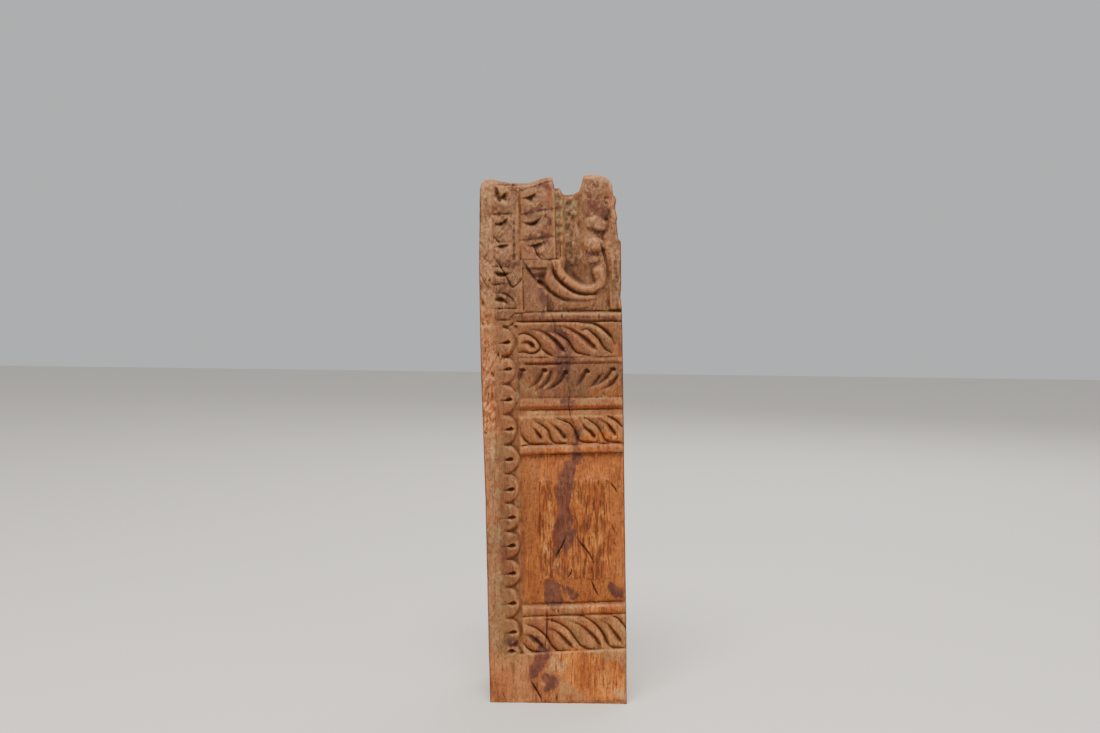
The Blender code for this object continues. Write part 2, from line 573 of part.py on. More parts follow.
def place(across, up, inward):
    """Lattice places to the leaning block's surface. inward runs from 0 at the front to 1 at the back."""
    fixed = PANEL_RIGHT_FACE
    beyond = np.maximum(across - fixed, 0.0) / (BODY_WIDTH - fixed)

    def spread(height):
        return np.minimum(across, fixed) + beyond * (right_side(height) - fixed)

    crown_up = crown_top(spread(TOP))
    foot_up = (FOOT_WIDTH / 2 - spread(0.0)) * math.tan(LEAN)
    sole = SPANS["plinth"][1]
    shoulder = SPANS["crown"][0]
    in_crown = shoulder + (crown_up - shoulder) * (up - shoulder) / (TOP - shoulder)
    level = np.where(up > shoulder, in_crown, up)
    u = spread(level)
    heights, tilts = np.array(LEVEL_TILT).T
    w = level + across * np.interp(level, heights, tilts)
    w = w + foot_up * np.clip(1.0 - up / sole, 0.0, 1.0)
    front = -DEPTH / 2 + relief(u, level)
    y = front + (DEPTH / 2 - front) * inward
    heights, swells = np.array(LEFT_SIDE).T
    u = u - np.interp(level, heights, swells) * np.clip(1.0 - across / FILLET_WIDTH, 0.0, 1.0)
    x = (u - FOOT_WIDTH / 2) * math.cos(LEAN) - w * math.sin(LEAN)
    z = (u - FOOT_WIDTH / 2) * math.sin(LEAN) + w * math.cos(LEAN)
    return np.column_stack([x, y, z])


def lattice():
    """The places across, up and inward where the block's faces are divided."""
    bevels = (PANEL_LEFT, PANEL_LEFT + PANEL_SIDE_BEVEL, PANEL_RIGHT_FACE)
    across = divided((0.0, FILLET_WIDTH, STRIP_RIGHT, BODY_WIDTH) + bevels, FRONT_STEP)
    marks = [edge for span in SPANS.values() for edge in span]
    low, high = SPANS["panel"]
    marks += [low + PANEL_BORDER + PANEL_END_BEVEL, high - PANEL_BORDER - PANEL_END_BEVEL]
    marks += [0.5 * sum(SPANS["wedge"])]
    up = divided(marks, FRONT_STEP)
    inward = divided((0.0, 1.0), CROSS_STEP / DEPTH)
    return across, up, inward


def block_mesh(name):
    """A closed box of quads on the lattice, moved onto the carved block."""
    lines = lattice()
    sizes = [len(line) for line in lines]
    numbers = {}
    cells = []

    def corner(*key):
        return numbers.setdefault(key, len(numbers))

    for axis in range(3):
        first, second = (axis + 1) % 3, (axis + 2) % 3
        for end in (0, sizes[axis] - 1):
            for i in range(sizes[first] - 1):
                for j in range(sizes[second] - 1):
                    ring = []
                    for di, dj in ((0, 0), (1, 0), (1, 1), (0, 1)):
                        key = [0, 0, 0]
                        key[axis], key[first], key[second] = end, i + di, j + dj
                        ring.append(corner(*key))
                    cells.append(ring)
    keys = np.array(list(numbers))
    points = place(lines[0][keys[:, 0]], lines[1][keys[:, 1]], lines[2][keys[:, 2]])
    mesh = bpy.data.meshes.new(name)
    mesh.from_pydata(points.tolist(), [], cells)
    bm = bmesh.new()
    bm.from_mesh(mesh)
    bmesh.ops.recalc_face_normals(bm, faces=bm.faces)
    bm.to_mesh(mesh)
    bm.free()
    return mesh


def wood():
    """Old, waxed and weathered hardwood."""
    material = bpy.data.materials.new("weathered_hardwood")
    material.use_nodes = True
    shader = material.node_tree.nodes["Principled BSDF"]
    shader.inputs["Base Color"].default_value = (0.28, 0.13, 0.055, 1.0)
    shader.inputs["Roughness"].default_value = 0.62
    shader.inputs["Metallic"].default_value = 0.0
    return material


def corbel():
    """The carved block, with its facets thinned where the surface is flat."""
    mesh = block_mesh("corbel")
    mesh.materials.append(wood())
    block = bpy.data.objects.new("corbel", mesh)
    bpy.context.scene.collection.objects.link(block)
    thinned = block.modifiers.new("Thinned", "DECIMATE")
    thinned.decimate_type = "COLLAPSE"
    thinned.ratio = KEPT_TRIANGLES / (2 * len(mesh.polygons))
    return block


def clear_scene():
    for thing in list(bpy.data.objects):
        bpy.data.objects.remove(thing, do_unlink=True)


def main():
    clear_scene()
    corbel()


main()
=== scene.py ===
# %% [markdown]
# # A carved wooden corbel
# The real thing is one upright block of old hardwood. A carver cut its front in shallow relief,
# and years of weather, wax and dirt did the rest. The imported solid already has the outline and
# the main steps. This lesson lays one finished piece over it, with every gouge stroke, crack and
# stain of the front, and with plainer sides, back and top.

# %% Load the frame
import math

import bmesh
import bpy
import numpy as np
from mathutils import Matrix, Vector


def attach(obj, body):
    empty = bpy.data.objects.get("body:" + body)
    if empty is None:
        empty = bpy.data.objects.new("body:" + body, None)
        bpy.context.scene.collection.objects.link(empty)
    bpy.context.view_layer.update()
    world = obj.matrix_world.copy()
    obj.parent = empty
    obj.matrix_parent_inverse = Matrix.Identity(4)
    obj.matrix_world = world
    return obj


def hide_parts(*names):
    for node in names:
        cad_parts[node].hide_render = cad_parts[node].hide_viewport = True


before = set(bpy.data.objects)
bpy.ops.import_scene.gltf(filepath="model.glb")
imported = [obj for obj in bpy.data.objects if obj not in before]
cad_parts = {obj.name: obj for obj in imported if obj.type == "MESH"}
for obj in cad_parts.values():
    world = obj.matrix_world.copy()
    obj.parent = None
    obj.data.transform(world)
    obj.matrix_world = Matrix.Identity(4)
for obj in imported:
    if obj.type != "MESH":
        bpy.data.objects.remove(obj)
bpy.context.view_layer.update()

# %% [markdown]
# ## The ruler
# The block leans a little to the left, so its carving is easiest to lay out in the block's own
# frame: u runs across from its left side and w runs up along it, both in millimetres. The courses
# are stacked on w. The carver's level lines tilt slightly, so each course is tested on a level
# that follows that tilt. These are the same numbers as in the solid, so the two agree.

# %% Sizes and courses
MM = 0.001
LEAN = math.radians(1.7)
FOOT = 118.8
BODY = 119.6
DEEP = 90.0
COURSES = {"plinth": 43.5, "low leaves": 32.0, "low bead": 9.8, "panel": 131.5, "panel bead": 8.6,
           "middle leaves": 24.8, "plain strip": 5.3, "wedge": 10.5, "drooping leaves": 30.0,
           "rib": 5.5, "upper leaves": 30.0, "upper bead": 8.5, "volute": 44.0, "crown": 71.8}
TILT = ((0, 43.5, 80, 220, 262, 336, 384, 500), (0, 0.03, 0.014, 0.007, 0, -0.01, 0, 0))
SPANS = {}
TOP = 0.0
for course, rise in COURSES.items():
    SPANS[course] = (TOP, TOP + rise)
    TOP += rise
print("courses:", len(SPANS), "height up the block:", round(TOP, 1))


def smooth(x, low, high):
    """Rises softly from 0 at low to 1 at high."""
    t = np.clip((x - low) / (high - low), 0.0, 1.0)
    return t * t * (3.0 - 2.0 * t)


# %% [markdown]
# ## The outline
# Three lines bound the front: the broken crown, the right side that is worn in near the top, and
# the left side, which swells by less than 3 mm. A table of a few places for each is enough,
# because wood breaks in short straight facets.

# %% Crown line and sides
CROWN_LINE = np.array((
    (0, 446), (1, 450.1), (3.1, 452.3), (4.1, 453.6), (9.9, 453.7), (14.1, 452.6), (20.6, 451.2),
    (27, 450.3), (34.9, 449.8), (40.6, 449.8), (45.6, 451.2), (52.7, 453.4), (59.1, 454.7), (61.5, 454.8),
    (62.1, 450.9), (62.7, 444.9), (68, 445.3), (69.9, 439.9), (74.9, 439.6), (79.5, 440.2), (84.2, 442.5),
    (86, 446.7), (86.8, 450.5), (88, 454.4), (89.5, 455.6), (94.9, 455.8), (101, 455.5), (105.7, 454.4),
    (110.3, 450.9), (112.6, 446.2)))
RIGHT_SIDE = np.array((
    (-9, 118.8), (0, 118.8), (60, 119.4), (95, 119.6), (330, 119.5), (343, 119.4), (352, 118.2),
    (362, 119.2), (398.8, 119.3), (400.5, 117.2), (409.8, 116.2), (416, 115.8), (419, 116.6),
    (422.8, 115.5), (427.5, 114.8), (434.4, 115.8), (437, 114.8), (438.6, 113), (446, 112.6)))
LEFT_SIDE = np.array((
    (0, 0), (70, -0.5), (180, -0.8), (240, -1.6), (292, -2.5), (376, -2.5), (412, -1.5), (436, -0.8),
    (456, 0)))


def crown_top(u):
    return np.interp(u, *CROWN_LINE.T)


def right_side(w):
    return np.interp(w, *RIGHT_SIDE.T)


def left_side(w):
    return np.interp(w, *LEFT_SIDE.T)


print("width at mid height:", round(float(right_side(200.0) - left_side(200.0)), 1))

# %% [markdown]
# ## A board to carve on
# A gouge reaches relief carving from the front only, so every place on it has just one depth. A
# grid of depths is then a true model of it. Sculpting by hand can't be repeated, and Booleans
# with hundreds of cutters are slow and leave no worn edges, so this script carves numbers: a cut
# is the greater of two depths, a rib is the lesser. Further layers of the same grid hold where
# stains, cracks and painted light and shade lie, and later become attributes that the material
# reads.

# %% The board
PIXEL = 0.4


def through(points, pieces=6):
    """A smooth curve through every one of the points."""
    p = np.array(points, float)
    p = np.vstack([2 * p[0] - p[1], p, 2 * p[-1] - p[-2]])
    t = np.linspace(0.0, 1.0, pieces, endpoint=False)[:, None]
    legs = [0.5 * (2 * b + (c - a) * t + (2 * a - 5 * b + 4 * c - d) * t ** 2
                   + (3 * b - a - 3 * c + d) * t ** 3)
            for a, b, c, d in zip(p, p[1:], p[2:], p[3:])]
    return np.vstack(legs + [p[-2:-1]])


def spread(share, values):
    """Values given at equal steps along a curve, read at a share of its length."""
    return np.interp(share, np.linspace(0.0, 1.0, len(values)), values)


class Board:
    """One side of the block as a grid of places in millimetres, with named layers of numbers."""

    def __init__(self, across, up):
        self.across = np.arange(*across, PIXEL)
        self.up = np.arange(*up, PIXEL)
        self.u, self.w = np.meshgrid(self.across, self.up)
        self.layers = {}

    def __getitem__(self, name):
        return self.layers.setdefault(name, np.zeros(self.u.shape))

    def __setitem__(self, name, values):
        self.layers[name] = values

    def near(self, points, reach):
        """A window round a curve, with each place's distance, side and share along the curve."""
        line = through(points)
        low, high = line.min(axis=0) - reach, line.max(axis=0) + reach
        window = (slice(*np.searchsorted(self.up, (low[1], high[1]))),
                  slice(*np.searchsorted(self.across, (low[0], high[0]))))
        u, w = self.u[window], self.w[window]
        legs = np.diff(line, axis=0)
        lengths = np.hypot(*legs.T)
        starts = np.concatenate([[0.0], np.cumsum(lengths)])
        distance, side, share = np.full(u.shape, np.inf), np.zeros(u.shape), np.zeros(u.shape)
        for (pu, pw), (lu, lw), length, start in zip(line, legs, lengths, starts):
            t = np.clip(((u - pu) * lu + (w - pw) * lw) / length ** 2, 0.0, 1.0)
            here = np.hypot(u - pu - t * lu, w - pw - t * lw)
            closer = here < distance
            distance = np.where(closer, here, distance)
            side = np.where(closer, np.sign(lu * (w - pw) - lw * (u - pu)), side)
            share = np.where(closer, (start + t * length) / starts[-1], share)
        return window, distance, side, share

    def cut(self, layer, points, widths, depths, lean=0.0, shape=1.0):
        """Cuts a hollow along a curve. A lean above 0 puts more of its width on the left."""
        window, distance, side, share = self.near(points, max(widths))
        half = 0.5 * spread(share, widths) * (1.0 + lean * side)
        deep = spread(share, depths) * np.clip(1.0 - distance / half, 0.0, 1.0) ** shape
        self[layer][window] = np.maximum(self[layer][window], deep)

    def rib(self, layer, points, widths, crests, ground):
        """Leaves a half-round rib standing from the ground up to its crest, both as depths."""
        window, distance, _, share = self.near(points, max(widths))
        across = 2.0 * distance / spread(share, widths)
        crest = spread(share, crests)
        round_top = ground - (ground - crest) * np.sqrt(np.clip(1.0 - across ** 2, 0.0, 1.0))
        depth = self[layer][window]
        self[layer][window] = np.where(across < 1.0, np.minimum(depth, round_top), depth)

    def paint(self, layer, points, widths, edge=3.0, amount=1.0):
        """Draws a soft brush stroke, whose edge wanders with the layer called ragged."""
        window, distance, _, share = self.near(points, max(widths) + edge)
        half = 0.5 * spread(share, widths) + self["ragged"][window]
        stroke = amount * (1.0 - smooth(distance, half - 0.5 * edge, half + 0.5 * edge))
        self[layer][window] = np.maximum(self[layer][window], stroke)

    def filtered(self, values, pass_band):
        """The values with each frequency, across and up, scaled by pass_band."""
        across = np.fft.rfftfreq(values.shape[1], PIXEL)[None, :]
        up = np.fft.fftfreq(values.shape[0], PIXEL)[:, None]
        return np.fft.irfft2(np.fft.rfft2(values) * pass_band(across, up), values.shape)

    def rough(self, seed, across, up):
        """Random hills of about this size, with a mean of 0 and a spread of 1."""
        noise = np.random.default_rng(seed).standard_normal(self.u.shape)
        hills = self.filtered(noise, lambda fu, fw: np.exp(-2.2 * ((fu * across) ** 2 + (fw * up) ** 2)))
        hills -= hills.mean()
        return hills / hills.std()

    def blurred(self, values, radius):
        pad = int(4 * radius / PIXEL)
        wide = np.pad(values, pad, mode="edge")
        fall = -2.0 * (math.pi * radius) ** 2
        soft = self.filtered(wide, lambda fu, fw: np.exp(fall * (fu ** 2 + fw ** 2)))
        return soft[pad:-pad, pad:-pad]

    def read(self, layer, u, w):
        """A layer between its grid points."""
        column = np.clip((u - self.across[0]) / PIXEL, 0.0, len(self.across) - 1.001)
        row = np.clip((w - self.up[0]) / PIXEL, 0.0, len(self.up) - 1.001)
        i, j = column.astype(int), row.astype(int)
        s, t = column - i, row - j
        grid = self[layer]
        low = grid[j, i] * (1.0 - s) + grid[j, i + 1] * s
        return low * (1.0 - t) + (grid[j + 1, i] * (1.0 - s) + grid[j + 1, i + 1] * s) * t


front = Board((-4.0, 124.0), (-4.0, 460.0))
u, w = front.u, front.w
level = w.copy()
for _ in range(3):
    level = w - u * np.interp(level, *TILT)
front["ragged"] = 0.9 * front.rough(1, 5.0, 9.0) + 0.5 * front.rough(2, 1.6, 3.0)
depth = front["depth"]
print("front board:", u.shape, "places")


def inside(course):
    low, high = SPANS[course]
    return (level >= low) & (level < high)


def carve(rows):
    """Clears the layer called strokes and cuts these rows: points, widths, depths, then lean and shape."""
    front["strokes"] = np.zeros(u.shape)
    for row in rows:
        front.cut("strokes", *row)


# %% [markdown]
# ## Plinth, beads, wedge and panel
# The plain mouldings come first. A bead is half a circle in section, the wedge is two flats that
# meet in a ridge, and the panel is a flat face with sloping borders. The block's right side cuts
# the panel's border off, so it was probably split from a wider piece.

# %% Plain mouldings
def moulding(course, profile):
    """Carves a course whose depth depends only on the distance from its middle, 0, to its edge, 1."""
    low, high = SPANS[course]
    here = inside(course)
    q = np.abs(2.0 * level[here] - low - high) / (high - low)
    depth[here] = profile(q)


for name in ("low bead", "panel bead", "upper bead"):
    moulding(name, lambda q: 0.9 + 3.9 * (1.0 - np.sqrt(1.0 - q ** 2)))
low, high = SPANS["wedge"]
ridge = low + 0.42 * (high - low)
below = inside("wedge") & (level < ridge)
depth[below] = (0.8 + 2.9 * (ridge - level) / (ridge - low))[below]
above = inside("wedge") & (level >= ridge)
depth[above] = (0.8 + 2.0 * (level - ridge) / (high - ridge))[above]
moulding("rib", lambda q: 1.6 + 1.4 * q ** 2)
depth[inside("plain strip")] = 3.3
depth[level < SPANS["plinth"][1]] = 0.2
low, high = SPANS["panel"]
slope = np.minimum(np.minimum((u - 30.0) / 16.0, (122.0 - u) / 16.0),
                   np.minimum((level - low - 2.5) / 20.5, (high - 2.5 - level) / 20.5))
field_edge = smooth(slope + 0.03 * front["ragged"], 0.95, 1.02)
depth[inside("panel")] = (5.0 - 3.3 * np.clip(slope, 0.0, 1.0) - 0.9 * field_edge)[inside("panel")]
for height, start, deep in (
    (44, 29, 0.8), (75.5, 29, 1.2), (86, 29, 1.2), (217.2, 28.5, 1.8), (226, 30, 0.9), (255.6, 22, 1.8),
    (266, 30, 0.8), (295.6, 34, 1), (332, 29, 1.4), (340.4, 29, 1.4)):
    tilt = np.interp(height, *TILT)
    line = [(across, height + across * tilt + 0.25 * math.sin(across))
            for across in range(int(start), 122, 4)]
    front.cut("seams", line, (0.8, 2.2, 2.2, 1.8), (0.4, deep, deep, deep))
print("panel face is", round(float(depth[inside("panel")].min()), 2), "mm below the front plane")

# %% [markdown]
# ## The running leaves
# Three bands carry leaves that run to the right. Each leaf is bounded by an S-shaped V cut and
# has an eye that one push of a gouge made: it starts thin, widens and ends round. Its upper wall
# is steep and its lower one shallow, so light from above shows it as a dark comma. No two are
# alike on the real block, so each stroke has its own points.

# %% Leaf edges and eyes
LOW_EDGES = (
    ((28.7, 58.7), (30.3, 52), (34.8, 47.6), (40.3, 44.8), (46, 44.4)),
    ((32.5, 69.8), (41.4, 65.9), (47, 61.4), (50.9, 57), (54.8, 50), (60.3, 45.6), (69.2, 44.6)),
    ((51, 73.2), (54.8, 72.5), (63.7, 68.7), (70.3, 63.1), (74.8, 56.4), (80.3, 49.6), (89.2, 46.2),
        (95, 46)),
    ((79, 76), (83.1, 75.3), (92.6, 68.7), (99.2, 59.8), (103.1, 51.2), (107, 48.2), (115, 47.6)),
    ((107, 75.6), (111.4, 74), (115.5, 69.5), (119, 64)))
LOW_EYES = (
    ((29.2, 60.3), (35.9, 59.8), (41.4, 55.8), (45.9, 50.6)),
    ((50.3, 65.9), (57, 64.2), (63.7, 58.7), (68.1, 53.7), (70.9, 50.9)),
    ((68.1, 72.6), (77, 69.8), (85.9, 63.7), (92.6, 56.4), (95.9, 50.9)),
    ((97.6, 72), (103.7, 68.1), (109.2, 60.9), (113.7, 54.8)))
MIDDLE_EDGES = (
    ((30.3, 242), (30.8, 237), (32.4, 232.6), (35.5, 228.8), (40, 226.4), (54, 225.9)),
    ((42.6, 246.8), (50.3, 241.8), (54.8, 237.3), (55.9, 232.9), (59.2, 227.6), (69.2, 226.4)),
    ((62, 248.2), (64.2, 247.3), (72.6, 244), (77, 238.4), (79.2, 232.9), (82.4, 228), (97, 226.8)),
    ((86, 248.4), (89.8, 246.2), (97, 240.7), (100.9, 234), (104, 228.6), (115.3, 226.4)),
    ((104, 250.2), (105.3, 249.6), (112.6, 245.7), (118, 239.9)))
MIDDLE_EYES = (
    ((39.6, 241.6), (44, 238), (48.1, 232.3)), ((53.8, 246), (63, 239.2), (68.6, 232.6)),
    ((81.4, 249.6), (85.5, 241), (91, 236.4), (94, 232.4)), ((96.5, 247.2), (105.3, 243.2), (111.8, 234.6)))
UPPER_EDGES = (
    ((27, 319), (33.7, 321.6), (40.3, 320.2), (45.9, 315.8), (49.2, 310.2), (47, 306.3), (43.7, 304.7),
        (39.2, 304.4), (34.8, 305.8), (29.2, 305.2)), ((49, 309.9), (53.7, 305.2), (59.2, 301.9)),
    ((61, 323), (65.9, 319.7), (72.6, 315.2), (77, 308), (80.6, 304.5), (91.4, 301.8)),
    ((84.8, 323.6), (89.2, 324.8), (93.6, 321.3), (99.2, 315.8), (103.7, 308), (109.6, 303.9)),
    ((84.8, 330.2), (94.8, 329.1), (102.6, 324.7), (109.2, 318), (112.8, 310.9)))
UPPER_EYES = (
    ((33, 313), (36.6, 314.3), (40.4, 313.6), (42.8, 311.4)),
    ((40.3, 325), (48.1, 324.1), (55.9, 320.2), (62.6, 314.7), (68.1, 308)),
    ((62.6, 328), (72.6, 325.8), (81.4, 321.3), (88.1, 316.3), (94.8, 309.7)))


def leaf_band(course, edges, eyes, eye_widths, strength=1.0, face=0.9):
    """Pillowed leaves between V cuts, each with an eye. The cuts go in the layer called strokes."""
    front["strokes"] = np.zeros(u.shape)
    front["shoulder"] = np.zeros(u.shape)
    for points in edges:
        front.cut("strokes", points, (1.0, 2.0, 2.2, 1.2), (0.8, 1.9, 2.1, 0.9), lean=-0.3)
        front.cut("shoulder", points, (12.0, 12.0), (1.8, 1.8), lean=0.15, shape=2.0)
    for points in eyes:
        front.cut("strokes", points, eye_widths, (0.4, 1.4, 3.3, 3.0), lean=-0.5, shape=0.9)
        front.cut("shoulder", points, (8.0, 13.0), (0.5, 1.3), lean=-0.2, shape=2.0)
    here = inside(course)
    leaves = face + strength * (front["shoulder"] + front["strokes"])
    depth[here] = leaves[here]


leaf_band("low leaves", LOW_EDGES, LOW_EYES, (1.2, 2.8, 5.6, 6.4), 1.15)
leaf_band("middle leaves", MIDDLE_EDGES, MIDDLE_EYES, (0.8, 2.0, 4.4, 4.8), 1.15)
leaf_band("upper leaves", UPPER_EDGES, UPPER_EYES, (1.6, 3.6, 6.0, 6.0), 1.25)
for points, widths in ((LOW_EDGES[3][2:5], (2.0, 4.4)), (MIDDLE_EYES[1][1:], (3.0, 5.4)),
                       (UPPER_EDGES[4][1:4], (3.0, 4.4))):
    front.cut("deeper", points, widths, (0.8, 1.6), shape=0.8)
depth += front["deeper"]
margin = smooth(u, 111.0, 115.0) * inside("upper leaves")
depth += (2.4 - depth) * margin
print("leaf strokes:", len(LOW_EDGES + LOW_EYES + MIDDLE_EDGES + MIDDLE_EYES + UPPER_EDGES + UPPER_EYES))

# %% [markdown]
# ## The drooping leaves
# Under the rib hang worn leaves: a row of round eyes, and veins that curve down to the left from
# each. Wear has almost closed the shallow veins, so they are wide and soft.

# %% Drooping leaves
EYES = (
    (33.2, 290.4, 2.9, 1.5), (52, 289.5, 2.9, 2), (70.2, 287.6, 2.2, 2.2), (88.6, 288.3, 2.7, 2),
    (110.8, 289.6, 2.9, 1.6))
VEINS = (
    ((33, 289.6), (31.6, 284), (29.4, 280.6)), ((51, 288.6), (48, 282.6), (44.2, 277.8), (39, 275.2)),
    ((58, 288), (55.4, 281), (50.8, 275.9), (43.8, 271.6)),
    ((70, 287), (66.4, 280.6), (60.6, 276), (52, 271.8)), ((88, 288), (84.4, 281.4), (79.2, 274.6)),
    ((100, 284), (95.6, 278), (89, 272.8)), ((110.4, 289.4), (105.2, 282.2), (98.7, 277.4), (92, 274)),
    ((114.6, 283), (109.4, 276.6), (101, 271.6)))
low, high = SPANS["drooping leaves"]
here = inside("drooping leaves")
depth[here] = (2.9 - 0.9 * (1.0 - ((2.0 * level - low - high) / (high - low)) ** 2))[here]
front["strokes"] = np.zeros(u.shape)
for points in VEINS:
    front.cut("strokes", points, (4.0, 7.4, 7.4, 3.6), (3.2, 3.8, 3.2, 1.2), lean=-0.4, shape=1.2)
    front.cut("strokes", points, (9.0, 14.0, 14.0, 9.0), (1.2, 1.7, 1.7, 0.9), shape=1.8)
    # Painted shade: the layer for cracks also darkens each vein's valley.
    front.cut("crack_and_painted_shade", points, (2.0, 3.4, 3.2, 1.4), (0.50, 0.62, 0.55, 0.25), lean=-0.4, shape=0.8)
for across, up, half_width, half_height in EYES:
    bowl = 1.0 - ((u - across) / half_width) ** 2 - ((w - up + 0.10 * (u - across)) / half_height) ** 2
    front["strokes"] = np.maximum(front["strokes"], 3.9 * np.sqrt(np.clip(bowl, 0.0, 1.0)))
front.cut("strokes", ((36, 295.4), (52, 294.8), (66, 295.2)), (2.6, 2.6), (1.6, 1.6))
depth[here] += front["strokes"][here]
front["veins"] = front["strokes"] * here / 4.0
print("eyes and veins:", len(EYES) + len(VEINS))

# %% [markdown]
# ## The scallop strip
# A fillet and a row of eleven round lobes run up the left. Every lobe has a keyhole, a drop-shaped
# hole with a slit to its left. The lobes stand above the field, so they throw the soft shadow
# that frames it. Their outline is an oval between two cusps, where a V cut parts the lobes.

# %% Scallops and keyholes
HOLES = (
    (20.6, 63.2), (20.6, 88.6), (20.9, 114.8), (20.9, 139), (21.4, 163.5), (20.8, 187.8), (20.2, 213.8),
    (21, 239.9), (20.4, 265.4), (20.6, 291.6), (19.6, 314.5))
CUSPS = (50.9, 75.3, 102.6, 127.0, 151.4, 176.0, 201.4, 226.2, 252.4, 278.4, 302.0, 326.6)
REACH = (27.2, 27.6, 28.8, 28.6, 29.2, 28.9, 29.2, 27.6, 27.8, 27.4, 27.2)
SCALLOP_TOP = 328.5
STRIP_RIGHT = 34.6
lobes = np.full(u.shape, -np.inf)
for low, high, reach in zip(CUSPS, CUSPS[1:], REACH):
    half = 0.5 * (high - low)
    oval = np.hypot(np.maximum(u - 15.0, 0.0) / (reach - 15.0), (w - low - half) / (1.04 * half))
    lobes = np.maximum(lobes, (1.0 - oval) * half)
half_lobe = np.hypot(np.maximum(u - 15.0, 0.0) / 12.4, (w - 44.0) / 8.6)
lobes = np.maximum(lobes, (1.0 - half_lobe) * 8.6)
lobes = np.maximum(lobes, 17.5 - u)
front["strokes"] = np.zeros(u.shape)
front["keyholes"] = np.zeros(u.shape)
for across, up in HOLES:
    front.cut("keyholes", ((across - 2.4, up - 0.7), (across, up - 0.1), (across + 1.7, up + 0.3)),
              (1.0, 3.6, 3.9), (2.2, 4.4, 4.6), lean=-0.25, shape=0.6)
    front.cut("strokes", ((9.8, up - 1.7), (13.6, up - 1.3), (across - 1.4, up - 0.6)),
              (0.7, 1.1, 2.0), (0.4, 1.2, 2.6))
for low in CUSPS[:-1]:
    front.cut("strokes", ((14.2, low + 1.2), (18.6, low - 0.4), (24.4, low + 0.8)),
              (0.6, 1.8, 2.2), (0.4, 1.7, 2.0), lean=-0.3)
for _, up in HOLES[4:]:
    front.cut("strokes", ((20.6, up + 8.0), (24.6, up + 4.4), (25.6, up), (24.6, up - 4.6)),
              (0.8, 1.8, 1.8, 0.8), (0.3, 0.8, 0.8, 0.2))
front.cut("keyholes", ((16.4, 46), (19.4, 46.4), (22.8, 45.8)), (1.8, 4.4, 1.8), (2, 5.2, 2), shape=0.5)
front.cut("strokes", ((8.4, 384), (8.2, 340), (8.8, 290), (9.5, 240), (9.6, 43)), (1.5, 1.5), (1, 1.2, 1.2))
rounding = 1.3 * smooth(lobes, 3.0, 0.2)
strip = 0.5 * smooth(u, 9.4, 11.0) + rounding + front["strokes"] + front["keyholes"]
joined = smooth(u, 28.6, 30.8)
field = 3.4 + 0.3 * front.rough(15, 4.0, 8.0) + 0.6 * smooth(lobes, -2.4, -0.4)
under = field + (depth - field) * joined
off_lobes = smooth(lobes, 0.7, -0.5)
here = (w > SPANS["plinth"][1]) & (w < SCALLOP_TOP)
depth[here] = (strip + (under - strip) * off_lobes)[here]
carve(((((30.4, 292), (29.6, 276), (29.4, 262)), (1.6, 1.8, 1.2), (1.2, 1.5, 0.8)),))
depth += front["strokes"]
print("keyholes:", len(HOLES) + 1, "lobes:", len(REACH))

# %% [markdown]
# ## The worn strip
# Above the scallops the strip changes to a looser pattern that weather has eaten: an eye under an
# arch, a long slot, and cracks that cross both. Here every stroke is a plain list entry.

# %% Strokes of the worn strip
WORN_CUTS = (
    (((10.8, 374.2), (14.5, 372.6), (19, 372.2), (23.6, 373.6)), (1.6, 4, 3.6, 1.4), (1.4, 4.6, 4, 1)),
    (((11.6, 350.8), (15, 351.2), (18.6, 349.8), (21.8, 347.2)), (1.8, 4.6, 3.4, 1.4), (2, 5, 3.4, 1)),
    (((10.6, 356.4), (17, 356.6), (23.1, 353.8), (27, 349.2), (28.1, 344.2)), (1.2, 2, 2.4, 1.6),
        (1, 1.8, 2.2, 1.4)), (((8.8, 343.2), (18, 343.4), (29, 343.2)), (1.2, 1.6, 1.6), (1, 1.8, 1.8)),
    (((10.6, 333.4), (16, 333.6), (23.4, 333.4)), (0.9, 1.8, 1.6), (0.8, 2.2, 1.4)),
    (((8.8, 379), (23.8, 378.8)), (1.2, 1.2), (1.4, 1)),
    (((6.2, 367.8), (9.2, 364.2), (13.6, 364), (20.4, 365)), (1.4, 1.8, 1.8, 1), (0.8, 1.6, 1.8, 0.8)),
    (((23.8, 370.2), (23.2, 366), (25.9, 361.4), (30.3, 364), (34, 368.4)), (1.2, 1.8, 2, 1.2),
        (1, 1.8, 2, 1)), (((19.8, 325.4), (23.4, 327.6), (26, 331.4)), (2.4, 2.8, 1.4), (2.8, 3.2, 1.2)),
    (((22, 333.4), (25.2, 336.8), (28.8, 339.8)), (1, 1.4), (0.9, 1.2)))
carve((points, [1.15 * wide for wide in widths], [1.25 * deep for deep in depths], -0.2, 0.85)
      for points, widths, depths in WORN_CUTS)
here = (w >= SCALLOP_TOP) & (w < SPANS["volute"][1]) & (u < STRIP_RIGHT)
bead_start = smooth(u, 27.0, 29.0) * (w < SPANS["volute"][0])
worn = 1.0 + 0.35 * front.rough(3, 6.0, 14.0) + front["strokes"]
depth[here] = (worn + (depth - worn) * bead_start)[here]
print("cuts in the worn strip:", len(WORN_CUTS))

# %% [markdown]
# ## The volute
# A thick roll sweeps down from the crown and curls up into a scroll. A flatter rib follows under
# it and a third lies below, almost worn away. The ground between them is the deepest carving on
# the block. Left of the ribs are a ledge and a flat triangular facet.

# %% Roll, ribs and scroll
def groove(u):
    """Depth of the tall groove: a sunk stepped strip, a steep wall, and a cove that rises to the right."""
    strip = 5.6 * smooth(u, 62.4, 64.0) + 7.4 * smooth(u, 68.6, 73.6)
    return strip - 8.0 * smooth(u, 75.0, 90.0)


